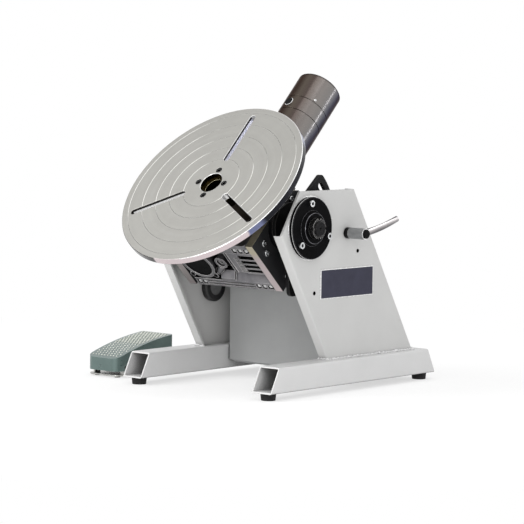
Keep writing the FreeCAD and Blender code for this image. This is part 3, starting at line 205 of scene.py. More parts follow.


# patchy finishes, colours in bytes and lengths in metres: patches are two colours and a size, grain is size,
# depth and stretch, gloss the roughness range, specks a colour, size and amount, edge the rounding, the worn
# colour, lighter than wear alone as a painted edge highlight, and its amount, corner shade a painted shade
# colour, its reach and its range
finishLooks = {
    "frame_paint": {"patches": ((201, 201, 200), (196, 196, 195), 0.09), "grain": (0.0016, 0.00005),
        "gloss": (0.34, 0.44), "shine": 0.4, "edge": (0.001, (226, 226, 225), 0.6),
        "cornerShade": ((150, 150, 150), 0.012)},
    # box paint: a darker grey than the frame, lowered further as painted shade for the head's shadow over the
    # box
    "box_paint": {"patches": ((162, 163, 163), (155, 156, 156), 0.08), "grain": (0.0014, 0.00006),
        "gloss": (0.42, 0.54), "shine": 0.35, "edge": (0.001, (196, 197, 197), 0.6),
        "cornerShade": ((110, 111, 112), 0.015)},
    "foot_rubber": {"patches": ((20, 20, 21), (30, 29, 29), 0.006), "grain": (0.0006, 0.00008),
        "gloss": (0.62, 0.82), "shine": 0.3, "specks": ((58, 56, 54), 0.0012, 0.5), "edge": (0.001,)},
    "screw_steel": {"patches": ((214, 215, 216), (186, 188, 190), 0.004), "grain": (0.0005, 0.00002),
        "gloss": (0.14, 0.26), "metal": 1.0, "edge": (0.0004,), "cornerShade": ((22, 22, 24), 0.006)},
    "bearing_black": {"patches": ((8, 8, 9), (13, 13, 15), 0.02), "grain": (0.0009, 0.00002),
        "gloss": (0.24, 0.34), "shine": 0.02, "edge": (0.001, (150, 150, 154), 0.9)},
    "shaft_steel": {"patches": ((22, 22, 24), (12, 12, 14), 0.008),
        "grain": (0.0006, 0.00003, (8.0, 1.0, 1.0)), "gloss": (0.24, 0.38), "metal": 0.3, "shine": 0.1,
        "edge": (0.0006, (150, 148, 144), 0.7), "cornerShade": ((6, 6, 6), 0.006)},
    "spindle_gold": {"patches": ((150, 138, 96), (92, 82, 52), 0.01), "grain": (0.0006, 0.00003),
        "gloss": (0.16, 0.3), "metal": 1.0, "edge": (0.001, (236, 226, 190), 0.8),
        "cornerShade": ((14, 12, 8), 0.045)},
    "screw_black": {"patches": ((16, 16, 17), (9, 9, 10), 0.004), "grain": (0.0005, 0.00002),
        "gloss": (0.28, 0.4), "metal": 0.7, "edge": (0.0006, (170, 170, 170), 0.8),
        "cornerShade": ((4, 4, 4), 0.006)},
    "locknut_black": {"patches": ((15, 15, 16), (22, 22, 23), 0.01), "grain": (0.0005, 0.00003),
        "gloss": (0.3, 0.42), "shine": 0.1, "edge": (0.0008, (120, 118, 114), 0.7),
        "cornerShade": ((4, 4, 4), 0.01)},
    "nut_steel": {"patches": ((92, 91, 91), (40, 39, 40), 0.004), "grain": (0.0005, 0.00003),
        "gloss": (0.22, 0.34), "metal": 0.9, "edgeTint": 0.3, "edge": (0.0007, (214, 212, 210), 0.9),
        "cornerShade": ((10, 10, 10), 0.0025)},
    # tube paint: the frame paint made lighter as painted light on the tubes, with painted shade inside their
    # open ends
    "tube_paint": {"patches": ((216, 216, 216), (210, 210, 210), 0.09), "grain": (0.0016, 0.00005),
        "gloss": (0.34, 0.44), "shine": 0.4, "edge": (0.001, (208, 206, 203), 0.6),
        "cornerShade": ((7, 7, 7), 0.06, 0.05, 0.42)},
    "cap_black": {"patches": ((9, 9, 10), (15, 15, 16), 0.012), "grain": (0.0008, 0.00004),
        "gloss": (0.44, 0.58), "shine": 0.05, "edge": (0.0006,)},
    "lever_grey": {"patches": ((142, 143, 144), (128, 129, 130), 0.01), "grain": (0.0009, 0.00006),
        "gloss": (0.35, 0.48), "metal": 0.35, "edge": (0.0008, (215, 215, 215), 0.7)},
    "lever_chrome": {"patches": ((190, 186, 186), (168, 164, 165), 0.012), "grain": (0.001, 0.00003),
        "gloss": (0.26, 0.38), "metal": 0.75},
    "plate_slate": {"patches": ((46, 46, 62), (52, 52, 69), 0.03),
        "grain": (0.0004, 0.00002, (1.0, 0.05, 1.0)), "gloss": (0.4, 0.5), "shine": 0.2,
        "cornerShade": ((8, 8, 12), 0.004)},
    "socket_black": {"patches": ((20, 20, 21), (29, 29, 30), 0.01), "grain": (0.0007, 0.00005),
        "gloss": (0.3, 0.44), "edge": (0.0008, (90, 90, 92), 0.5)},
    "socket_grey": {"patches": ((118, 118, 118), (100, 100, 101), 0.008), "grain": (0.0006, 0.00004),
        "gloss": (0.34, 0.46), "edge": (0.0006,)},
    "lamp_green": {"patches": ((36, 150, 80), (28, 128, 66), 0.004), "grain": (0.0008, 0.00004),
        "gloss": (0.1, 0.18), "coat": 0.6},
    "stop_red": {"patches": ((196, 30, 28), (178, 24, 24), 0.012), "grain": (0.0008, 0.00003),
        "gloss": (0.22, 0.32), "coat": 0.2, "edge": (0.001,)},
    "coil_iron": {"patches": ((92, 84, 76), (70, 64, 60), 0.01), "grain": (0.0005, 0.00012, (0.05, 1.0, 1.0)),
        "gloss": (0.4, 0.6), "metal": 0.6},
    "board_green": {"patches": ((26, 84, 56), (34, 98, 64), 0.01), "grain": (0.001, 0.00004),
        "gloss": (0.3, 0.42)},
    "pedal_green": {"patches": ((90, 110, 106), (80, 100, 97), 0.035), "grain": (0.0011, 0.00007),
        "gloss": (0.26, 0.36), "metal": 0.3, "coat": 0.5, "coatRoughness": 0.12,
        "specks": ((132, 150, 143), 0.0014, 0.25), "edge": (0.0008, (176, 194, 186), 0.7),
        "cornerShade": ((18, 30, 28), 0.005, 0.4, 0.97)},
    "pedal_zinc": {"patches": ((196, 196, 192), (160, 160, 158), 0.008), "grain": (0.0008, 0.00003),
        "gloss": (0.2, 0.34), "metal": 1.0, "edge": (0.0005,)},
    "spring_steel": {"patches": ((110, 109, 108), (88, 87, 86), 0.003), "grain": (0.0004, 0.00002),
        "gloss": (0.25, 0.38), "metal": 1.0},
}
detailLooks = {
    # bright metal for screws and the nameplate border, and painted highlight on thin rings, slot edges,
    # chamfers and the rim edge
    "brightMetalAndHighlight": {"patches": ((238, 238, 238), (222, 222, 222), 0.006), "grain": (0.0006, 0.00001),
        "gloss": (0.22, 0.32), "metal": 0.5},
    "blackenedInsert": {"patches": ((6, 6, 6), (10, 10, 10), 0.004), "grain": (0.0006, 0.00002),
        "gloss": (0.5, 0.6), "shine": 0.05},
    # light line for the boss rims, a painted highlight
    "wornAndLitLine": {"patches": ((120, 120, 124), (80, 80, 84), 0.012), "grain": (0.0006, 0.00001),
        "gloss": (0.25, 0.35), "metal": 0.7},
    # painted shade on slot walls
    "slotWall": {"patches": ((30, 27, 25), (14, 13, 12), 0.004), "grain": (0.0008, 0.00004, (1.0, 1.0, 0.2)),
        "gloss": (0.25, 0.4), "metal": 0.5},
    # painted sheen on slot walls
    "slotWallSheen": {"patches": ((206, 206, 216), (150, 151, 172), 0.006), "grain": (0.0006, 0.00002),
        "gloss": (0.2, 0.3), "metal": 0.7},
    # weld bead paint, lighter than the frame paint as a painted highlight, with painted shade along its sides
    "beadPaintLit": {"patches": ((232, 232, 232), (206, 206, 206), 0.01), "grain": (0.001, 0.00006),
        "gloss": (0.3, 0.42), "shine": 0.5, "cornerShade": ((70, 70, 72), 0.004)},
    "wornAndLitTread": {"patches": ((240, 241, 232), (196, 202, 190), 0.006), "grain": (0.0008, 0.00003),
        "gloss": (0.26, 0.38), "metal": 0.1},
}

casting = {"body": (142, 140, 142), "bodyDark": (108, 107, 111), "patchSize": 0.03, "pits": (72, 72, 77),
           "rubbedAndLit": (240, 237, 236), "deep": (7, 7, 9), "skinSize": 0.0013, "skinDepth": 0.00024,
           "edgeWidth": 0.0016, "reach": 0.026, "shade": (0.32, 0.86), "shadeUnderTable": (48, 42, 36),
           "shadeUnderTableFrom": (0.0426, 0.0432), "gloss": (0.34, 0.50), "metal": 0.7}


def castingFinish(look):
    # die-cast housing: sandy skin, rubbed edges lightened further as painted highlights, painted shade in
    # corners and fin gaps, and painted shade on the top under the table
    mat, tree, shader, place = startMaterial("casting")
    patches = addNoise(tree, place, look["patchSize"], 5.0, 0.6)
    skin = addNoise(tree, place, look["skinSize"], 3.0, 0.6)
    rounded, litWornEdge = addRoundEdge(tree, look["edgeWidth"])
    litWornEdge = addMath(tree, "MULTIPLY", litWornEdge, addRange(tree, patches, 0.6, 1.0))
    height = addAlong(tree, place, pivot, headUp)
    colour = addMix(tree, addRange(tree, patches, 0.0, 1.0), look["bodyDark"], look["body"])
    colour = addMix(tree, addRange(tree, skin, 0.0, 0.35, 0.5, 0.75), colour, look["pits"])
    # painted shade: the deep colour fills corners and fin gaps
    colour = addMix(tree, addCorners(tree, look["reach"], *look["shade"]), colour, look["deep"])
    colour = addMix(tree, litWornEdge, colour, look["rubbedAndLit"])
    # painted shade on the housing's top, where the table shades it
    colour = addMix(tree, addRange(tree, height, 0.0, 1.0, *look["shadeUnderTableFrom"]), colour, look["shadeUnderTable"])
    feed(tree, shader, {"Base Color": colour, "Roughness": addRange(tree, patches, *look["gloss"]),
                        "Normal": addBump(tree, skin, look["skinDepth"], rounded), "Metallic": look["metal"]})
    return mat


cheek = {"paint": (33, 34, 35), "paintLight": (47, 47, 49), "patchSize": 0.05, "ground": (190, 178, 178),
         "aged": (190, 182, 160), "agedFrom": (0.005, 0.024), "middle": (0.102, -0.126),
         "bareFrom": (0.0086, 0.0089), "grain": (0.0007, 0.00004), "edgeWidth": 0.0008, "gloss": (0.26, 0.40),
         "metal": 0.9, "shine": 0.3}


def cheekFinish(look):
    # blackened faces and bare ground edges, browner towards the table
    mat, tree, shader, place = startMaterial("cheekPlate")
    x = addOut(tree, "ShaderNodeSeparateXYZ", {0: place})
    depths = [addMath(tree, "ABSOLUTE", addMath(tree, "SUBTRACT", x, middle)) for middle in look["middle"]]
    bare = addRange(tree, addMath(tree, "MINIMUM", *depths), 1.0, 0.0, *look["bareFrom"])
    patches = addNoise(tree, place, look["patchSize"], 4.0)
    age = addRange(tree, addAlong(tree, place, pivot, headUp), 0.0, 1.0, *look["agedFrom"])
    paint = addMix(tree, addRange(tree, patches, 0.0, 1.0), look["paint"], look["paintLight"])
    steel = addMix(tree, age, look["ground"], look["aged"])
    size, depth = look["grain"]
    grain = addNoise(tree, place, size, 2.0, 0.5, (1.0, 0.08, 1.0), (-restTilt, 0.0, 0.0))
    rounded = addRoundEdge(tree, look["edgeWidth"])[0]
    feed(tree, shader, {"Base Color": addMix(tree, bare, paint, steel),
                        "Roughness": addRange(tree, patches, *look["gloss"]),
                        "Normal": addBump(tree, grain, depth, rounded),
                        "Metallic": addMath(tree, "MULTIPLY", bare, look["metal"]),
                        "Specular IOR Level": look["shine"]})
    return mat


# barrel bands of painted highlight and shade: place across the barrel from one side to the other, and the
# colour there
motor = {"across": (0.683, -0.730), "radius": 0.048, "patchSize": 0.05, "seamReach": 0.005,
         "seam": (18, 16, 16), "rim": (24, 22, 22), "rimFrom": (0.3865, 0.3905), "lines": (0.0009, 0.00003),
         "gloss": (0.17, 0.23), "edgeWidth": 0.0008, "metal": 0.85, "edgeTint": (0.42, 0.38, 0.36, 1.0),
         "bands": ((0.00, (44, 37, 36)), (0.10, (66, 57, 52)), (0.20, (90, 82, 74)), (0.32, (84, 74, 70)),
                   (0.42, (106, 99, 95)), (0.52, (128, 122, 119)), (0.62, (136, 131, 128)),
                   (0.74, (130, 127, 125)), (0.82, (124, 123, 126)), (0.87, (102, 103, 111)),
                   (0.92, (72, 73, 86)), (1.00, (48, 48, 60)))}


def motorFinish(look):
    # drawn steel barrel, with painted light in bands across it: shade along one side, a highlight in the middle
    # and a dark blue reflection along the other
    mat, tree, shader, place = startMaterial("motorSteel")
    patches = addNoise(tree, place, look["patchSize"], 4.0)
    size, depth = look["lines"]
    lines = addNoise(tree, place, size, 2.0, 0.5, (1.0, 0.06, 1.0), (-restTilt, 0.0, 0.0))
    across = addAlong(tree, place, motorAxis, sideways * look["across"][0] + headUp * look["across"][1])
    share = addRange(tree, across, 0.0, 1.0, -look["radius"], look["radius"])
    share = addMath(tree, "ADD", share, addRange(tree, patches, -0.03, 0.03))
    rim = addRange(tree, addAlong(tree, place, motorAxis, headAlong), 0.0, 1.0, *look["rimFrom"])
    # painted shade along the rounded end of the barrel
    colour = addMix(tree, rim, addBands(tree, share, look["bands"]), look["rim"])
    # painted shade in the seams and creases
    colour = addMix(tree, addCorners(tree, look["seamReach"], 0.2, 0.8), colour, look["seam"])
    gloss = addMath(tree, "ADD", addRange(tree, patches, *look["gloss"]), addRange(tree, lines, -0.03, 0.03))
    bump = addBump(tree, lines, depth, addRoundEdge(tree, look["edgeWidth"])[0])
    feed(tree, shader, {"Base Color": colour, "Roughness": gloss, "Normal": bump, "Metallic": look["metal"],
                        "Specular Tint": look["edgeTint"]})
    return mat


turned = {"face": (166, 165, 161), "faceDark": (161, 160, 156), "smudge": (157, 156, 152), "smudgeSize": 0.06,
          "rim": (208, 195, 197), "rimBlue": (112, 118, 150), "rimDark": (34, 35, 40), "rimShade": (38, 37, 38),
          "edge": (244, 243, 240), "cornerShade": (30, 30, 31), "reflectionWay": (0.996, 0.087, 0.0), "radius": 0.2,
          "rimFrom": (0.1985, 0.1995), "blueFrom": (0.755, 0.768), "darkFrom": (0.845, 0.885),
          "shadeFrom": (-0.215, -0.190), "reach": 0.012, "edgeWidth": 0.0009, "edgeWearAndHighlight": 0.9,
          "ringScales": (1500.0, 60.0), "ringDepth": 0.00001, "gloss": (0.54, 0.62), "rimGloss": 0.16,
          "metal": 0.9}


def turnedFinish(look):
    # turned face, and a rim with a painted reflection on one side, from pale straw through blue to dark, and
    # painted shade low on the other
    mat, tree, shader, place = startMaterial("turnedSteel")
    shift = addVectorMath(tree, "SUBTRACT", place, tableCentre)
    level = addOut(tree, "ShaderNodeMapping", {"Vector": shift, "Rotation": (-restTilt, 0.0, 0.0)})
    parts = addNode(tree, "ShaderNodeSeparateXYZ", {0: level}).outputs
    squares = [addMath(tree, "MULTIPLY", part, part) for part in (parts[0], parts[1])]
    radius = addMath(tree, "SQRT", addMath(tree, "ADD", *squares))
    rings, bands = (addNode(tree, "ShaderNodeTexNoise", {"W": radius, "Scale": scale, "Detail": 2.0},
                            noise_dimensions="1D").outputs["Fac"] for scale in look["ringScales"])
    smudges = addNoise(tree, place, look["smudgeSize"], 4.0, 0.6)
    faceColour = addMix(tree, addRange(tree, bands, 0.0, 1.0), look["face"], look["faceDark"])
    faceColour = addMix(tree, addRange(tree, smudges, 0.0, 0.5), faceColour, look["smudge"])
    # painted reflection: the rim colour runs from pale straw through blue to dark along this way
    tint = addVectorMath(tree, "DOT_PRODUCT", level, Vector(look["reflectionWay"]).normalized())
    tint = addMath(tree, "DIVIDE", tint, look["radius"])
    tint = addMath(tree, "ADD", tint, addRange(tree, smudges, -0.01, 0.01))
    rimColour = addMix(tree, addRange(tree, tint, 0.0, 1.0, *look["blueFrom"]), look["rim"], look["rimBlue"])
    rimColour = addMix(tree, addRange(tree, tint, 0.0, 1.0, *look["darkFrom"]), rimColour, look["rimDark"])
    rimColour = addMix(tree, addRange(tree, tint, 1.0, 0.0, *look["shadeFrom"]), rimColour, look["rimShade"])
    rim = addRange(tree, radius, 0.0, 1.0, *look["rimFrom"])
    colour = addMix(tree, rim, faceColour, rimColour)
    # painted shade in slots, grooves and corners
    colour = addMix(tree, addCorners(tree, look["reach"], 0.10, 0.60), colour, look["cornerShade"])
    rounded, litWornEdge = addRoundEdge(tree, look["edgeWidth"])
    # edges lightened as painted highlights
    colour = addMix(tree, addMath(tree, "MULTIPLY", litWornEdge, look["edgeWearAndHighlight"]), colour, look["edge"])
    gloss = addMath(tree, "ADD", addRange(tree, smudges, *look["gloss"]), addRange(tree, rings, -0.04, 0.04))
    feed(tree, shader, {"Base Color": colour, "Metallic": look["metal"],
                        "Roughness": addOut(tree, "ShaderNodeMix", {0: rim, 2: gloss, 3: look["rimGloss"]}),
                        "Normal": addBump(tree, rings, look["ringDepth"], rounded)})
    return mat


groove = {"bright": (240, 239, 236), "dark": (126, 125, 122), "way": (0.17, 0.985), "darkFrom": (0.55, 0.80),
          "gloss": (0.35, 0.5), "shine": 0.3}


def grooveFinish(look):
    # scribed lines, with a painted highlight along two opposite arcs and painted shade along the two between
    mat, tree, shader, place = startMaterial("scribedLine")
    unit = addVectorMath(tree, "NORMALIZE", addVectorMath(tree, "SUBTRACT", place, tableCentre))
    side = addVectorMath(tree, "DOT_PRODUCT", unit, sideways * look["way"][0] + headAlong * look["way"][1])
    share = addMath(tree, "ADD", addMath(tree, "ABSOLUTE", side),
                    addRange(tree, addNoise(tree, place, 0.03, 3.0), -0.08, 0.08))
    colour = addMix(tree, addRange(tree, share, 0.0, 1.0, *look["darkFrom"]), look["bright"], look["dark"])
    feed(tree, shader, {"Base Color": colour, "Specular IOR Level": look["shine"],
                        "Roughness": addRange(tree, addNoise(tree, place, 0.004), *look["gloss"])})
    return mat


details = {name: patchyFinish(name, look) for name, look in detailLooks.items()}
finishes = {slot: patchyFinish(slot, look) for slot, look in finishLooks.items()}
finishes["cast_alloy"] = castingFinish(casting)
finishes["cheek_steel"] = cheekFinish(cheek)
finishes["motor_metal"] = motorFinish(motor)
finishes["table_steel"] = turnedFinish(turned)
print("finishes made:", len(finishes) + len(details))

nodeSlots = {part["node"]: part["material_slot"] for part in frame["record"]["subparts"]}
# the foot tubes take the lighter tube paint, a painted-light copy of the frame paint
nodeLooks = {"spindle": "spindle_gold", "faceplate_screws": "screw_black", "trunnion_locknuts": "nut_steel",
             "foot_tube_right": "tube_paint", "foot_tube_left": "tube_paint"}
for node, piece in frame["nodes"].items():
    piece.data.materials.clear()
    piece.data.materials.append(finishes[nodeLooks.get(node, nodeSlots[node])])
    piece.data.set_sharp_from_angle(angle=math.radians(32))
print("CAD nodes dressed:", len(frame["nodes"]))


# mesh helpers
def linked(name, data):
    piece = bpy.data.objects.new(name, data)
    scene.collection.objects.link(piece)
    return piece


def finishMesh(bm, name, smoothAngle=32.0):
    bmesh.ops.remove_doubles(bm, verts=bm.verts, dist=0.000001)
    bmesh.ops.recalc_face_normals(bm, faces=bm.faces)
    mesh = bpy.data.meshes.new(name)
    bm.to_mesh(mesh)
    bm.free()
    mesh.shade_smooth()
    mesh.set_sharp_from_angle(angle=math.radians(smoothAngle))
    return linked(name, mesh)


def lathe(profile, steps):
    bm = bmesh.new()
    verts = [bm.verts.new((r / 1000.0, 0.0, z / 1000.0)) for r, z in profile]
    edges = [bm.edges.new((a, b)) for a, b in zip(verts, verts[1:] + verts[:1])]
    bmesh.ops.spin(bm, geom=verts + edges, cent=(0, 0, 0), axis=(0, 0, 1), angle=math.tau, steps=steps,
                   use_merge=True)
    return bm


def bridge(bm, loops):
    for low, high in zip(loops, loops[1:]):
        for k in range(len(low)):
            after = (k + 1) % len(low)
            bm.faces.new((low[k], low[after], high[after], high[k]))


def addPart(whole, part, place):
    part.transform(place)
    mesh = bpy.data.meshes.new("part")
    part.to_mesh(mesh)
    part.free()
    whole.from_mesh(mesh)
    bpy.data.meshes.remove(mesh)


def applied(piece, name):
    depsgraph = bpy.context.evaluated_depsgraph_get()
    mesh = bpy.data.meshes.new_from_object(piece.evaluated_get(depsgraph))
    mesh.name = name
    made = linked(name, mesh)
    bpy.data.objects.remove(piece)
    return made


def dress(piece, body, finish=None):
    if finish is not None:
        piece.data.materials.clear()
        piece.data.materials.append(finish)
    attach(piece, body)
    return piece


# geometry node trees
def startTree(name, inputs):
    kinds = {float: "NodeSocketFloat", int: "NodeSocketInt", type(None): "NodeSocketMaterial"}
    tree = bpy.data.node_groups.new(name, "GeometryNodeTree")
    tree.interface.new_socket("Geometry", in_out="INPUT", socket_type="NodeSocketGeometry")
    for label, value in (*inputs.items(), ("finish", None)):
        socket = tree.interface.new_socket(label, in_out="INPUT", socket_type=kinds[type(value)])
        if value is not None:
            socket.default_value = value
    tree.interface.new_socket("Geometry", in_out="OUTPUT", socket_type="NodeSocketGeometry")
    return tree, tree.nodes.new("NodeGroupInput").outputs


def endTree(tree, given, last):
    real = addOut(tree, "GeometryNodeRealizeInstances", {"Geometry": last})
    painted = addOut(tree, "GeometryNodeSetMaterial", {"Geometry": real, "Material": given["finish"]})
    addNode(tree, "NodeGroupOutput", {0: painted})
    return tree


def scatter(tree, points, shape, turn, size=(1.0, 1.0, 1.0)):
    return addOut(tree, "GeometryNodeInstanceOnPoints", {"Points": points, "Instance": shape, "Rotation": turn,
                                                         "Scale": size})


def growTree(tree, base, name, values):
    modifier = base.modifiers.new("grow", "NODES")
    modifier.node_group = tree
    for item in tree.interface.items_tree:
        if item.item_type == "SOCKET" and item.in_out == "INPUT" and item.name in values:
            modifier[item.identifier] = values[item.name]
    return applied(base, name)


def pointObject(name, spots):
    mesh = bpy.data.meshes.new(name)
    mesh.from_pydata([tuple(place) for place, way in spots], [], [])
    attribute = mesh.attributes.new("way", "FLOAT_VECTOR", "POINT")
    for item, (place, way) in zip(attribute.data, spots):
        item.vector = way
    return linked(name, mesh)


def screwTree():
    # a bevelled head with a hexagon socket on every point, facing the point's way, its socket turned at random
    tree, given = startTree("socketScrews", {"headRadius": 0.0065, "headHeight": 0.006, "socketRadius": 0.0036,
                                             "socketDepth": 0.003, "seed": 3})
    radius, height = given["headRadius"], given["headHeight"]

    def raised(shape, z):
        lift = addVector(tree, z=z)
        return addOut(tree, "GeometryNodeTransform", {"Geometry": shape, "Translation": lift})
    head = addOut(tree, "GeometryNodeMeshCylinder", {"Vertices": 28, "Radius": radius, "Depth": height})
    bevel = addMath(tree, "MULTIPLY", radius, 0.12)
    smaller = addMath(tree, "MULTIPLY", radius, 0.88)
    crown = addOut(tree, "GeometryNodeMeshCone", {"Vertices": 28, "Radius Top": smaller,
                                                  "Radius Bottom": radius, "Depth": bevel})
    whole = addNode(tree, "GeometryNodeMeshBoolean", operation="UNION", solver="EXACT")
    for part in (raised(head, addMath(tree, "MULTIPLY", height, 0.5)), raised(crown, height)):
        tree.links.new(part, whole.inputs[1])
    double = addMath(tree, "MULTIPLY", given["socketDepth"], 2.0)
    hexagon = addOut(tree, "GeometryNodeMeshCylinder", {"Vertices": 6, "Radius": given["socketRadius"],
                                                        "Depth": double})
    socket = raised(hexagon, addMath(tree, "ADD", height, bevel))
    screw = addOut(tree, "GeometryNodeMeshBoolean", {0: whole.outputs[0], 1: socket}, operation="DIFFERENCE",
                   solver="EXACT")
    way = addOut(tree, "GeometryNodeInputNamedAttribute", {"Name": "way"}, data_type="FLOAT_VECTOR")
    aimed = addOut(tree, "FunctionNodeAlignRotationToVector", {"Vector": way}, axis="Z")
    spin = addNode(tree, "FunctionNodeRandomValue", {"Seed": given["seed"], 3: 1.05}, data_type="FLOAT")
    turn = addVector(tree, z=spin.outputs[1])
    spun = addOut(tree, "FunctionNodeRotateRotation", {"Rotation": aimed, 1: turn}, rotation_space="LOCAL")
    points = addOut(tree, "GeometryNodeMeshToPoints", {"Mesh": given["Geometry"]})
    return endTree(tree, given, scatter(tree, points, screw, spun))


def weldTree():
    # overlapping ripples along the path, each a little off its place and size
    tree, given = startTree("weldBead", {"pitch": 0.0028, "width": 0.0042, "height": 0.0030, "wander": 0.0005,
                                         "seed": 7})
    path = addOut(tree, "GeometryNodeMeshToCurve", {"Mesh": given["Geometry"]})
    steps = addOut(tree, "GeometryNodeResampleCurve", {"Curve": path, "Length": given["pitch"]}, mode="LENGTH")
    ripple = addOut(tree, "GeometryNodeMeshUVSphere", {"Segments": 12, "Rings": 6, "Radius": 1.0})
    tangent = addOut(tree, "GeometryNodeInputTangent")
    aimed = addOut(tree, "FunctionNodeAlignRotationToVector", {"Vector": tangent}, axis="X")
    size = addVector(tree, addMath(tree, "MULTIPLY", given["pitch"], 0.95), given["width"], given["height"])
    vary = addNode(tree, "FunctionNodeRandomValue", {"Seed": given["seed"], 2: 0.84, 3: 1.14},
                   data_type="FLOAT")
    sized = addOut(tree, "ShaderNodeVectorMath", {0: size, "Scale": vary.outputs[1]}, operation="SCALE")
    placed = scatter(tree, steps, ripple, aimed, sized)
    drift = addOut(tree, "FunctionNodeRandomValue", {"Seed": given["seed"], 0: (-1.0, -1.0, -1.0),
                                                     1: (1.0, 1.0, 1.0)}, data_type="FLOAT_VECTOR")
    shift = addOut(tree, "ShaderNodeVectorMath", {0: drift, "Scale": given["wander"]}, operation="SCALE")
    moved = addOut(tree, "GeometryNodeTranslateInstances", {"Instances": placed, "Translation": shift,
                                                            "Local Space": False})
    return endTree(tree, given, addOut(tree, "GeometryNodeSetShadeSmooth", {"Geometry": moved}))


def treadTree():
    # rows of studs on an arc, every other row shifted by half a pitch
    tree, given = startTree("treadStuds", {
        "columns": 8, "rows": 8, "pitchX": 0.010, "pitchY": 0.006, "middleX": 0.0, "startY": 0.0,
        "arcRadius": 0.6, "arcY": 0.0, "arcZ": 0.0, "studLength": 0.004, "studWidth": 0.004,
        "studHeight": 0.0014, "sunk": 0.0002})
    columns = given["columns"]
    start = addOut(tree, "GeometryNodePoints", {"Count": addMath(tree, "MULTIPLY", columns, given["rows"])})
    index = addOut(tree, "GeometryNodeInputIndex")
    row = addMath(tree, "FLOOR", addMath(tree, "DIVIDE", index, columns))
    stagger = addMath(tree, "MULTIPLY", addMath(tree, "MODULO", row, 2.0), 0.5)
    column = addMath(tree, "ADD", addMath(tree, "MODULO", index, columns), stagger)
    column = addMath(tree, "ADD", column, addMath(tree, "MULTIPLY", columns, -0.5))
    x = addMath(tree, "MULTIPLY_ADD", addMath(tree, "ADD", column, 0.25), given["pitchX"], given["middleX"])
    y = addMath(tree, "MULTIPLY_ADD", row, given["pitchY"], given["startY"])
    run = addMath(tree, "SUBTRACT", y, given["arcY"])
    squares = [addMath(tree, "MULTIPLY", length, length) for length in (given["arcRadius"], run)]
    rise = addMath(tree, "SQRT", addMath(tree, "SUBTRACT", *squares))
    z = addMath(tree, "SUBTRACT", addMath(tree, "ADD", rise, given["arcZ"]), given["sunk"])
    points = addOut(tree, "GeometryNodeSetPosition", {"Geometry": start, "Position": addVector(tree, x, y, z)})
    lean = addVector(tree, 0.0, run, rise)
    aimed = addOut(tree, "FunctionNodeAlignRotationToVector", {"Vector": lean}, axis="Z")
    ball = addOut(tree, "GeometryNodeMeshIcoSphere", {"Radius": 1.0, "Subdivisions": 2})
    size = addVector(tree, addMath(tree, "MULTIPLY", given["studLength"], 0.5),
                     addMath(tree, "MULTIPLY", given["studWidth"], 0.5), given["studHeight"])
    placed = scatter(tree, points, ball, aimed, size)
    return endTree(tree, given, addOut(tree, "GeometryNodeSetShadeSmooth", {"Geometry": placed}))


# faceplate: turned, scribed and slotted. slotKinds has the finish of each slot's edge, ends and deep wall:
# bright is a painted highlight, wall is painted shade and ground is a painted sheen
table = {"radius": 200.0, "bore": 24.0, "back": 110.0, "face": places["tableFace"], "edgeBreak": 1.0,
         "boreBreak": 0.8, "rings": (62.0, 93.0, 124.0, 155.0, 186.0), "ringWidth": 1.0, "ringDepth": 0.5,
         "slots": 3, "slotWidth": 13.0, "slotInner": 58.0, "slotOuter": 180.0, "slotBreak": 0.7, "screws": 4,
         "screwCircle": 33.0, "screwSeat": 7.1, "screwDepth": 8.6, "past": 1.0, "steps": 240,
         "slotShadow": (5.0, 5.8, 99.0), "brightRimFrom": 40.0, "flatLevel": 0.95, "bevelLevel": 0.3,
         "slotKinds": (("bright", "bright", "ground"), ("steel", "wall", "bright"),
                       ("bright", "bright", "wall"))}
# plate finishes by kind: bright is a painted highlight, wall painted shade, ground a painted sheen
plateFinishes = {"steel": finishes["table_steel"], "line": grooveFinish(groove),
                 "bore": finishes["spindle_gold"], "wall": details["slotWall"], "bright": details["brightMetalAndHighlight"],
                 "ground": details["slotWallSheen"]}


def stadium(bm, half, inner, outer, z, turns=10):
    points = []
    for centre, start in ((outer - half, -90.0), (inner + half, 90.0)):
        for i in range(turns + 1):
            angle = math.radians(start + 180.0 * i / turns)
            spot = ((centre + math.cos(angle) * half) / 1000.0, math.sin(angle) * half / 1000.0, z / 1000.0)
            points.append(bm.verts.new(spot))
    return points


def faceKind(spot, level, t):
    radius, depth = spot.xy.length, spot.z
    if 0.1 < depth < t["ringDepth"] + 0.01 and any(abs(radius - r) < t["ringWidth"] / 2 for r in t["rings"]):
        return "line"
    # the bore's chamfer takes a painted highlight
    if radius < t["bore"] + t["boreBreak"] and depth > 0.01:
        return "bore" if depth > t["boreBreak"] else "bright"
    # the rim's edge break on one side takes a painted highlight
    if radius > t["radius"] - t["edgeBreak"] and depth < t["edgeBreak"] and level < t["flatLevel"]:
        return "bright" if spot.x > t["brightRimFrom"] else "steel"
    half = t["slotWidth"] / 2
    for i, (edge, end, deep) in enumerate(t["slotKinds"]):
        turn = math.radians(90.0 + 360.0 / t["slots"] * i)
        along = spot.x * math.cos(turn) + spot.y * math.sin(turn)
        aside = abs(spot.y * math.cos(turn) - spot.x * math.sin(turn))
        inSlot = aside < half + 1.0 and t["slotInner"] - 1.0 < along < t["slotOuter"] + 1.0
        if inSlot and level < t["flatLevel"]:
            if level > t["bevelLevel"]:
                return edge
            if along > t["slotOuter"] - half * 0.5 or along < t["slotInner"] + half * 0.5:
                return end
            # above the shadow depth the slot walls take painted shade
            return deep if depth > t["slotShadow"][i] else "wall"
    return "steel"


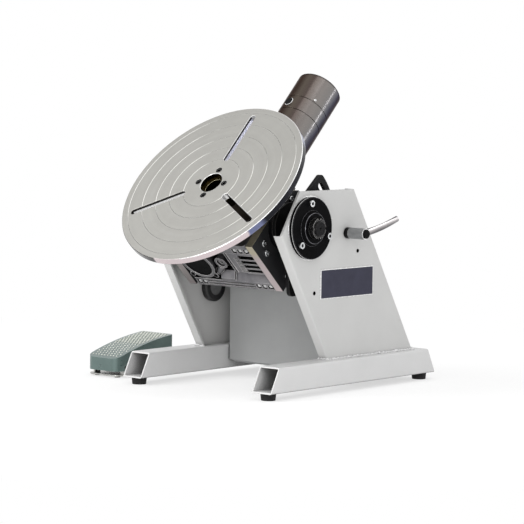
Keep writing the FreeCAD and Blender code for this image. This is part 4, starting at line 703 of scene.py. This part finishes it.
def plateCutters(t):
    cutters = bmesh.new()
    shadows = sorted(t["slotShadow"][:2], reverse=True)
    levels = [(0.0, t["back"] - t["past"]), *((0.0, t["face"] - depth) for depth in shadows),
              (0.0, t["face"] - t["slotBreak"]), (t["slotBreak"] + t["past"], t["face"] + t["past"])]
    for i in range(t["slots"]):
        slot = bmesh.new()
        loops = [stadium(slot, t["slotWidth"] / 2 + grow, t["slotInner"] - grow, t["slotOuter"] + grow, z)
                 for grow, z in levels]
        bridge(slot, loops)
        slot.faces.new(loops[0])
        slot.faces.new(loops[-1])
        addPart(cutters, slot, Matrix.Rotation(math.radians(90.0 + 360.0 / t["slots"] * i), 4, "Z"))
    low, high, radius = t["face"] - t["screwDepth"], t["face"] + t["past"], t["screwSeat"] / 1000.0
    for i in range(t["screws"]):
        angle = math.radians(90.0 + 360.0 / t["screws"] * i)
        place = Vector((math.cos(angle), math.sin(angle), 0.0)) * t["screwCircle"] / 1000.0
        seat = bmesh.ops.create_cone(cutters, cap_ends=True, segments=32, radius1=radius, radius2=radius,
                                     depth=(high - low) / 1000.0)
        bmesh.ops.translate(cutters, verts=seat["verts"], vec=place + Vector((0, 0, (high + low) / 2000.0)))
    return finishMesh(cutters, "plateCutters")


def makeFaceplate(t):
    ringHalf = t["ringWidth"] / 2
    rim, back, top = t["radius"] - t["edgeBreak"], t["back"], t["face"]
    profile = [(t["bore"], back), (rim, back), (t["radius"], back + t["edgeBreak"]),
               (t["radius"], top - t["edgeBreak"]), (rim, top)]
    for r in reversed(t["rings"]):
        profile += [(r + ringHalf, top), (r - ringHalf * 0.7, top - t["ringDepth"]), (r - ringHalf, top)]
    profile += [(t["bore"] + t["boreBreak"], top), (t["bore"], top - t["boreBreak"])]
    plate = finishMesh(lathe(profile, t["steps"]), "plateBlank")
    cutter = plateCutters(t)
    cut = plate.modifiers.new("cut", "BOOLEAN")
    cut.operation = "DIFFERENCE"
    cut.solver = "EXACT"
    cut.object = cutter
    plate = applied(plate, "turnedFaceplate")
    bpy.data.objects.remove(cutter)
    plate.data.transform(headMatrix(0.0, places["tableAlong"], 0.0))
    plate.data.shade_smooth()
    plate.data.set_sharp_from_angle(angle=math.radians(25))
    plate.data.materials.clear()
    for finish in plateFinishes.values():
        plate.data.materials.append(finish)
    kinds = list(plateFinishes)
    for face in plate.data.polygons:
        offset = (Vector(face.center) - tableCentre) * 1000.0
        spot = Vector((offset.dot(sideways), offset.dot(headAlong), -offset.dot(headUp)))
        face.material_index = kinds.index(faceKind(spot, abs(Vector(face.normal).dot(headUp)), t))
    return plate


faceplate = makeFaceplate(table)
dress(faceplate, "table")
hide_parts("faceplate")
print("faceplate made:", len(faceplate.data.polygons), "faces")

# socket screws: places on the head in millimetres, sizes in metres
screws = screwTree()
screwSizes = ("headRadius", "headHeight", "socketRadius", "socketDepth")
cheekScrews = {"sizes": (0.0065, 0.0022, 0.0036, 0.0026),
               "places": [(-64, 22), (-72, 2), (-64, -75), (52, 22), (52, -75)]}
earScrews = {"sizes": (0.0037, 0.0040, 0.0021, 0.0024),
             "places": [(54, 26), (69, 26), (84, 26), (-102, -79.5), (-88, -79.5), (54, -79.5), (69, -79.5),
                        (84, -79.5)]}
lugScrews = {"sizes": (0.0040, 0.0006, 0.0024, 0.0008), "circle": 43.7, "turns": (45.0, 135.0, 225.0, 315.0)}
motorScrew = {"sizes": (0.0026, 0.0016, 0.0014, 0.0008), "along": 333.0, "turn": 36.0}


def makeScrews(name, spots, look, finish):
    values = dict(zip(screwSizes, look["sizes"]), finish=finish)
    made = growTree(screws, pointObject(name + "Points", spots), name, values)
    made.data.set_sharp_from_angle(angle=math.radians(30))
    return dress(made, "head")


def aroundAxis(axis, radius, turn, along):
    # a spot on a circle around the motor's or the worm's axis, and its way outward
    angle = math.radians(turn)
    x = places[axis + "X"] + radius * math.cos(angle)
    up = places[axis + "Up"] + radius * math.sin(angle)
    return headPoint(x, along, up), sideways * math.cos(angle) + headUp * math.sin(angle)


cheekSpots = [(headPoint(places[side], along, up), sideways * way)
              for side, way in (("cheekRight", 1), ("cheekLeft", -1)) for along, up in cheekScrews["places"]]
earSpots = [(headPoint(x, side * places["gearboxEnd"], up), headAlong * side)
            for side in (-1, 1) for x, up in earScrews["places"]]
lugSpots = [(aroundAxis("worm", lugScrews["circle"], turn, places["wormFront"])[0], -headAlong)
            for turn in lugScrews["turns"]]
motorSpots = [aroundAxis("motor", places["motorRadius"], motorScrew["turn"], motorScrew["along"])]
makeScrews("cheekScrews", cheekSpots, cheekScrews, finishes["screw_steel"])
makeScrews("gearboxScrews", earSpots, earScrews, details["brightMetalAndHighlight"])
makeScrews("lugScrews", lugSpots, lugScrews, details["blackenedInsert"])
makeScrews("motorScrew", motorSpots, motorScrew, details["brightMetalAndHighlight"])
print("screws made")

# turned rings and inserts: spots with their ways, and radius and height pairs around each way in millimetres.
# The gland rim, flange rims, flange corners and boss rims are thin rings of painted highlight
gland = {"turn": 97.5, "along": 311.0, "seat": 47.8}
glandSpot = aroundAxis("motor", gland["seat"], gland["turn"], gland["along"])
flangeSpots = [(Vector((side * 0.175, pivot.y, pivot.z)), sideways * side) for side in (1, -1)]
rings = {
    "glandRim": {"body": "head", "slot": "motor_metal", "finish": "brightMetalAndHighlight", "spots": [glandSpot],
                 "profile": [(8.7, -2.0), (9.8, -2.0), (9.8, 0.5), (9.4, 0.9), (8.7, 0.9)]},
    "leverRing": {"body": "clamp_lever", "slot": "lever_grey", "finish": "brightMetalAndHighlight",
                  "spots": [(Vector((0.2214, -0.012, 0.312)), sideways)],
                  "profile": [(9.1, -0.4), (11.0, -0.4), (11.0, 0.4), (10.6, 0.7), (9.1, 0.7)]},
    "rivetNuts": {"body": "base", "slot": "locknut_black", "finish": "blackenedInsert",
                  "spots": [(Vector((0.175, y, z)), sideways) for y, z in ((0.023, 0.275), (-0.111, 0.198))],
                  "profile": [(0.0, -7.0), (3.95, -7.0), (3.95, 0.2), (3.3, 0.2), (3.3, -6.0), (0.0, -6.0)]},
    "flangeRims": {"body": "base", "slot": "bearing_black", "finish": "brightMetalAndHighlight", "spots": flangeSpots,
                   "profile": [(60.9, 0.0), (63.3, 0.0), (63.1, 0.4), (60.9, 0.5)]},
    "flangeCorners": {"body": "base", "slot": "bearing_black", "finish": "brightMetalAndHighlight", "spots": flangeSpots,
                      "profile": [(60.8, 6.2), (61.2, 6.35), (61.2, 6.6), (60.8, 6.8)]},
    "earSeats": {"body": "head", "slot": "cast_alloy", "finish": "blackenedInsert", "spots": earSpots,
                 "profile": [(3.0, 0.0), (5.0, 0.0), (4.8, 0.25), (3.0, 0.25)]},
    "bossRims": {"body": "base", "slot": "bearing_black", "finish": "wornAndLitLine", "spots": flangeSpots,
                 "profile": [(29.4, 14.9), (30.1, 14.5), (30.5, 14.5), (30.1, 15.2), (29.4, 15.2)]},
}


def makeRings(name, look, steps=72):
    whole = bmesh.new()
    for spot, way in look["spots"]:
        place = Matrix.Translation(spot) @ way.to_track_quat("Z", "Y").to_matrix().to_4x4()
        addPart(whole, lathe(look["profile"], steps), place)
    return dress(finishMesh(whole, name), look["body"], details[look["finish"]])


for name, look in rings.items():
    makeRings(name, look)
print("rings made")

# clamp lever: one bent and tapered bar, with a painted reflection in bands around it, dark along the top and
# underneath and bright above the middle
armReflectionLook = {"way": (-0.39, -0.24, 0.89), "radius": 0.0068, "gloss": (0.16, 0.26), "metal": 0.7, "bands": (
    (0.00, (84, 82, 84)), (0.10, (104, 102, 104)), (0.30, (142, 139, 140)), (0.50, (184, 180, 181)),
    (0.62, (232, 228, 228)), (0.80, (240, 237, 237)), (0.87, (112, 108, 110)), (1.00, (84, 82, 84)))}
leverArm = {"root": (0.2124, -0.012, 0.312), "reach": (0.034, 0.068, 0.029), "droop": 0.0030,
            "rootRadius": 0.0072, "tipRadius": 0.0058, "rings": 28, "around": 24, "start": 0.13, "capRings": 4,
            "capTurn": 20.0, "capLength": 0.45}


def makeLeverArm(look):
    bm = bmesh.new()
    root, reach = Vector(look["root"]), Vector(look["reach"])
    level = reach.normalized()
    drop = -upward - level * level.dot(-upward)
    drop.normalize()

    def middle(t):
        return root + reach * t + drop * look["droop"] * math.sin(math.pi * min(t, 1.0))
    loops = []
    count = look["rings"]
    for i in range(count + look["capRings"] + 1):
        t = look["start"] + (1.0 - look["start"]) * min(i, count) / count
        ahead = (middle(t + 0.01) - middle(t - 0.01)).normalized()
        radius = look["rootRadius"] + (look["tipRadius"] - look["rootRadius"]) * t
        spot = middle(t)
        if i > count:
            turn = math.radians(look["capTurn"] * (i - count))
            spot = spot + ahead * radius * look["capLength"] * math.sin(turn)
            radius = radius * math.cos(turn)
        side = ahead.cross(upward).normalized()
        over = side.cross(ahead)
        turns = [math.tau * k / look["around"] for k in range(look["around"])]
        loops.append([bm.verts.new(spot + side * radius * math.cos(turn) + over * radius * math.sin(turn))
                      for turn in turns])
    bridge(bm, loops)
    bm.faces.new(list(reversed(loops[0])))
    bm.faces.new(loops[-1])
    return finishMesh(bm, "leverBar", 50.0)


def armFinish(look, arm):
    mat, tree, shader, place = startMaterial("leverPaintedReflection")
    level = Vector(arm["reach"]).normalized()
    way = Vector(look["way"]) - level * level.dot(Vector(look["way"]))
    height = addAlong(tree, place, arm["root"], way.normalized())
    middle = addMath(tree, "ADD", height, arm["droop"] * 0.7)
    share = addRange(tree, middle, 0.0, 1.0, -look["radius"], look["radius"])
    share = addMath(tree, "ADD", share, addRange(tree, addNoise(tree, place, 0.01, 3.0), -0.03, 0.03))
    feed(tree, shader, {"Base Color": addBands(tree, share, look["bands"]), "Metallic": look["metal"],
                        "Roughness": addRange(tree, addNoise(tree, place, 0.004, 3.0), *look["gloss"])})
    return mat


leverBar = dress(makeLeverArm(leverArm), "clamp_lever", armFinish(armReflectionLook, leverArm))
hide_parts("clamp_lever_arm")
print("lever made")

# nameplate border, bare metal around the blank plate
border = {"x": 0.175, "middle": (-0.0105, 0.214), "size": (0.162, 0.055), "width": 0.0018, "height": 0.0016}


def makeBorder(look):
    bm = bmesh.new()
    midY, midZ = look["middle"]
    halfY, halfZ = look["size"][0] / 2, look["size"][1] / 2
    width, height = look["width"], look["height"]
    loops = []
    for grow, high in ((0.0, 0.0), (width, 0.0), (width, height * 0.7), (width * 0.6, height), (0.0, height)):
        loops.append([bm.verts.new((look["x"] + high, midY + a * (halfY + grow), midZ + b * (halfZ + grow)))
                      for a, b in ((-1, -1), (1, -1), (1, 1), (-1, 1))])
    bridge(bm, loops + loops[:1])
    return finishMesh(bm, "plateBorder")


dress(makeBorder(border), "base", details["brightMetalAndHighlight"])
print("plate border made")

# weld beads
welds = weldTree()
bead = {"pitch": 0.0036, "width": 0.0046, "height": 0.0036, "wander": 0.0009, "tubeTop": 0.064,
        "plateFront": -0.066, "plateRear": 0.209, "plateOut": 0.175, "plateIn": 0.1545}


def makeWelds(name, look):
    mesh = bpy.data.meshes.new(name + "Path")
    points = []
    edges = []
    for side in (-1, 1):
        first = len(points)
        corners = (("plateIn", "plateFront"), ("plateOut", "plateFront"), ("plateOut", "plateRear"),
                   ("plateIn", "plateRear"))
        points += [(side * look[across], look[along], look["tubeTop"]) for across, along in corners]
        edges += [(first + i, first + i + 1) for i in range(len(corners) - 1)]
    mesh.from_pydata(points, edges, [])
    made = growTree(welds, linked(name + "Path", mesh), name, dict(look, finish=details["beadPaintLit"]))
    return dress(made, "base")


makeWelds("frameWelds", bead)
print("welds made")

# pedal tread, its paint worn off the raised studs, which are lightened further as painted highlights
treads = treadTree()
pedal = {"middleX": -0.300, "front": -0.214, "length": 0.168, "frontHeight": 0.038, "rearHeight": 0.080,
         "crown": 0.006, "beyond": 0.010}


def treadArc(p):
    # middle and radius of the arc through a point before the pedal, its crown and a point behind it
    low, high, extra = p["frontHeight"], p["rearHeight"], p["beyond"]
    slope = (high - low) / p["length"]
    a = Vector((p["front"] - extra, low - slope * extra))
    b = Vector((p["front"] + p["length"] / 2, (low + high) / 2 + p["crown"]))
    c = Vector((p["front"] + p["length"] + extra, high + slope * extra - p["crown"] * 0.5))
    trios = ((a, b, c), (b, c, a), (c, a, b))
    d = 2 * sum(u.x * (v.y - w.y) for u, v, w in trios)
    cy = sum(u.length_squared * (v.y - w.y) for u, v, w in trios) / d
    cz = sum(u.length_squared * (w.x - v.x) for u, v, w in trios) / d
    return cy, cz, (a - Vector((cy, cz))).length


arcY, arcZ, arcRadius = treadArc(pedal)
studs = {
    "pedalStuds": {"columns": 9, "rows": 8, "pitchX": 0.0082, "pitchY": 0.0084, "startY": -0.202,
                   "studLength": 0.0034, "studWidth": 0.0034, "studHeight": 0.0015},
    "pedalBars": {"columns": 9, "rows": 13, "pitchX": 0.0082, "pitchY": 0.0066, "startY": -0.134,
                  "studLength": 0.0026, "studWidth": 0.0084, "studHeight": 0.0017},
}
for name, look in studs.items():
    values = dict(look, middleX=pedal["middleX"], arcRadius=arcRadius, arcY=arcY, arcZ=arcZ,
                  finish=details["wornAndLitTread"])
    made = growTree(treads, pointObject(name + "Base", [((0, 0, 0), upward)]), name, values)
    dress(made, "pedal")
print("pedal tread made")

# camera, lamps, world and floor
view = {"place": (3.1915, -3.7931, 0.6333), "heading": 40.56, "drop": 4.51, "roll": 0.77, "focal": 168.66}


def aimedCamera(v):
    az, el, roll = (math.radians(v[k]) for k in ("heading", "drop", "roll"))
    right = Vector((math.cos(az), math.sin(az), 0.0))
    ahead = Vector((-math.sin(az) * math.cos(el), math.cos(az) * math.cos(el), -math.sin(el)))
    up = right.cross(ahead)
    across = right * math.cos(roll) + up * math.sin(roll)
    upright = -right * math.sin(roll) + up * math.cos(roll)
    data = bpy.data.cameras.new("camera")
    data.lens = v["focal"]
    data.sensor_width = 36.0
    data.sensor_fit = "HORIZONTAL"
    data.clip_end = 50.0
    turn = Matrix((across, upright, -ahead)).transposed().to_4x4()
    scene.camera = linked("camera", data)
    scene.camera.matrix_world = Matrix.Translation(v["place"]) @ turn


aimedCamera(view)


def areaLamp(name, look):
    data = bpy.data.lights.new(name, "AREA")
    data.shape = "RECTANGLE"
    data.size, data.size_y = look["size"]
    data.energy = look["power"]
    place = Vector(look["place"])
    back = (place - Vector(look.get("target", (0.0, 0.0, 0.25)))).normalized()
    along = look.get("along", upward)
    along = (along - back * along.dot(back)).normalized()
    turn = Matrix((along.cross(back), along, back)).transposed().to_4x4()
    linked(name, data).matrix_world = Matrix.Translation(place) @ turn


lampLooks = {
    "keyLamp": {"place": (-1.9, -3.0, 2.8), "size": (2.0, 2.0), "power": 70.0},
    "sideLamp": {"place": (2.8, -1.9, 1.5), "size": (1.8, 1.8), "power": 21.0},
    "topLamp": {"place": (0.8, 0.4, 3.6), "size": (2.0, 2.0), "power": 16.0},
    "frontLamp": {"place": (0.6, -3.0, 0.4), "size": (1.8, 0.7), "power": 22.0},
    "stripLamp": {"place": (1.50, 1.42, 0.61), "size": (0.07, 0.9), "power": 1.6, "along": headAlong,
                  "target": (0.0, 0.12, 0.55)},
}
for name, look in lampLooks.items():
    areaLamp(name, look)


def chooseSurface(tree, lighting, seen, out):
    # one surface for the light that falls on the machine, another for what is seen and mirrored
    rays = tree.nodes.new("ShaderNodeLightPath").outputs
    share = addMath(tree, "ADD", rays["Is Camera Ray"], rays["Is Glossy Ray"], clamp=True)
    share = addMath(tree, "ADD", share, rays["Is Transmission Ray"], clamp=True)
    chosen = addOut(tree, "ShaderNodeMixShader", {0: share, 1: lighting, 2: seen})
    tree.links.new(chosen, tree.nodes[out].inputs["Surface"])


studio = {"strength": 0.65}
world = bpy.data.worlds.new("studio")
scene.world = world
world.use_nodes = True
worldTree = world.node_tree
background = worldTree.nodes["Background"]
feed(worldTree, background, {"Color": white, "Strength": studio["strength"]})
backdrop = addOut(worldTree, "ShaderNodeBackground", {"Color": white})
chooseSurface(worldTree, background.outputs[0], backdrop, "World Output")

floorLook = {"half": 6.0, "bounce": 0.95, "albedo": 0.42, "lift": 0.62, "shadowReach": (0.55, 1.3)}


def whiteFloor(look):
    # shadows stay close to the machine, and further out the floor is as white as the backdrop
    mesh = bpy.data.meshes.new("floor")
    corners = [(look["half"] * x, look["half"] * y, 0.0) for x, y in ((-1, -1), (1, -1), (1, 1), (-1, 1))]
    mesh.from_pydata(corners, [], [(0, 1, 2, 3)])
    ground = linked("floor", mesh)
    mat, tree, shader, place = startMaterial("paleFloor")
    bounce, albedo = ((share, share, share, 1.0) for share in (look["bounce"], look["albedo"]))
    feed(tree, shader, {"Base Color": bounce, "Roughness": 0.9, "Specular IOR Level": 0.0})
    dull = addOut(tree, "ShaderNodeBsdfDiffuse", {"Color": albedo})
    glow = addOut(tree, "ShaderNodeEmission", {"Color": white, "Strength": look["lift"]})
    near = addOut(tree, "ShaderNodeAddShader", {0: dull, 1: glow})
    far = addOut(tree, "ShaderNodeEmission", {"Color": white})
    distance = addVectorMath(tree, "LENGTH", place)
    fade = addRange(tree, distance, 0.0, 1.0, *look["shadowReach"])
    seen = addOut(tree, "ShaderNodeMixShader", {0: fade, 1: near, 2: far})
    chooseSurface(tree, shader.outputs[0], seen, "Material Output")
    mesh.materials.append(mat)


whiteFloor(floorLook)

scene.view_settings.view_transform = "Standard"
print("scene ready")
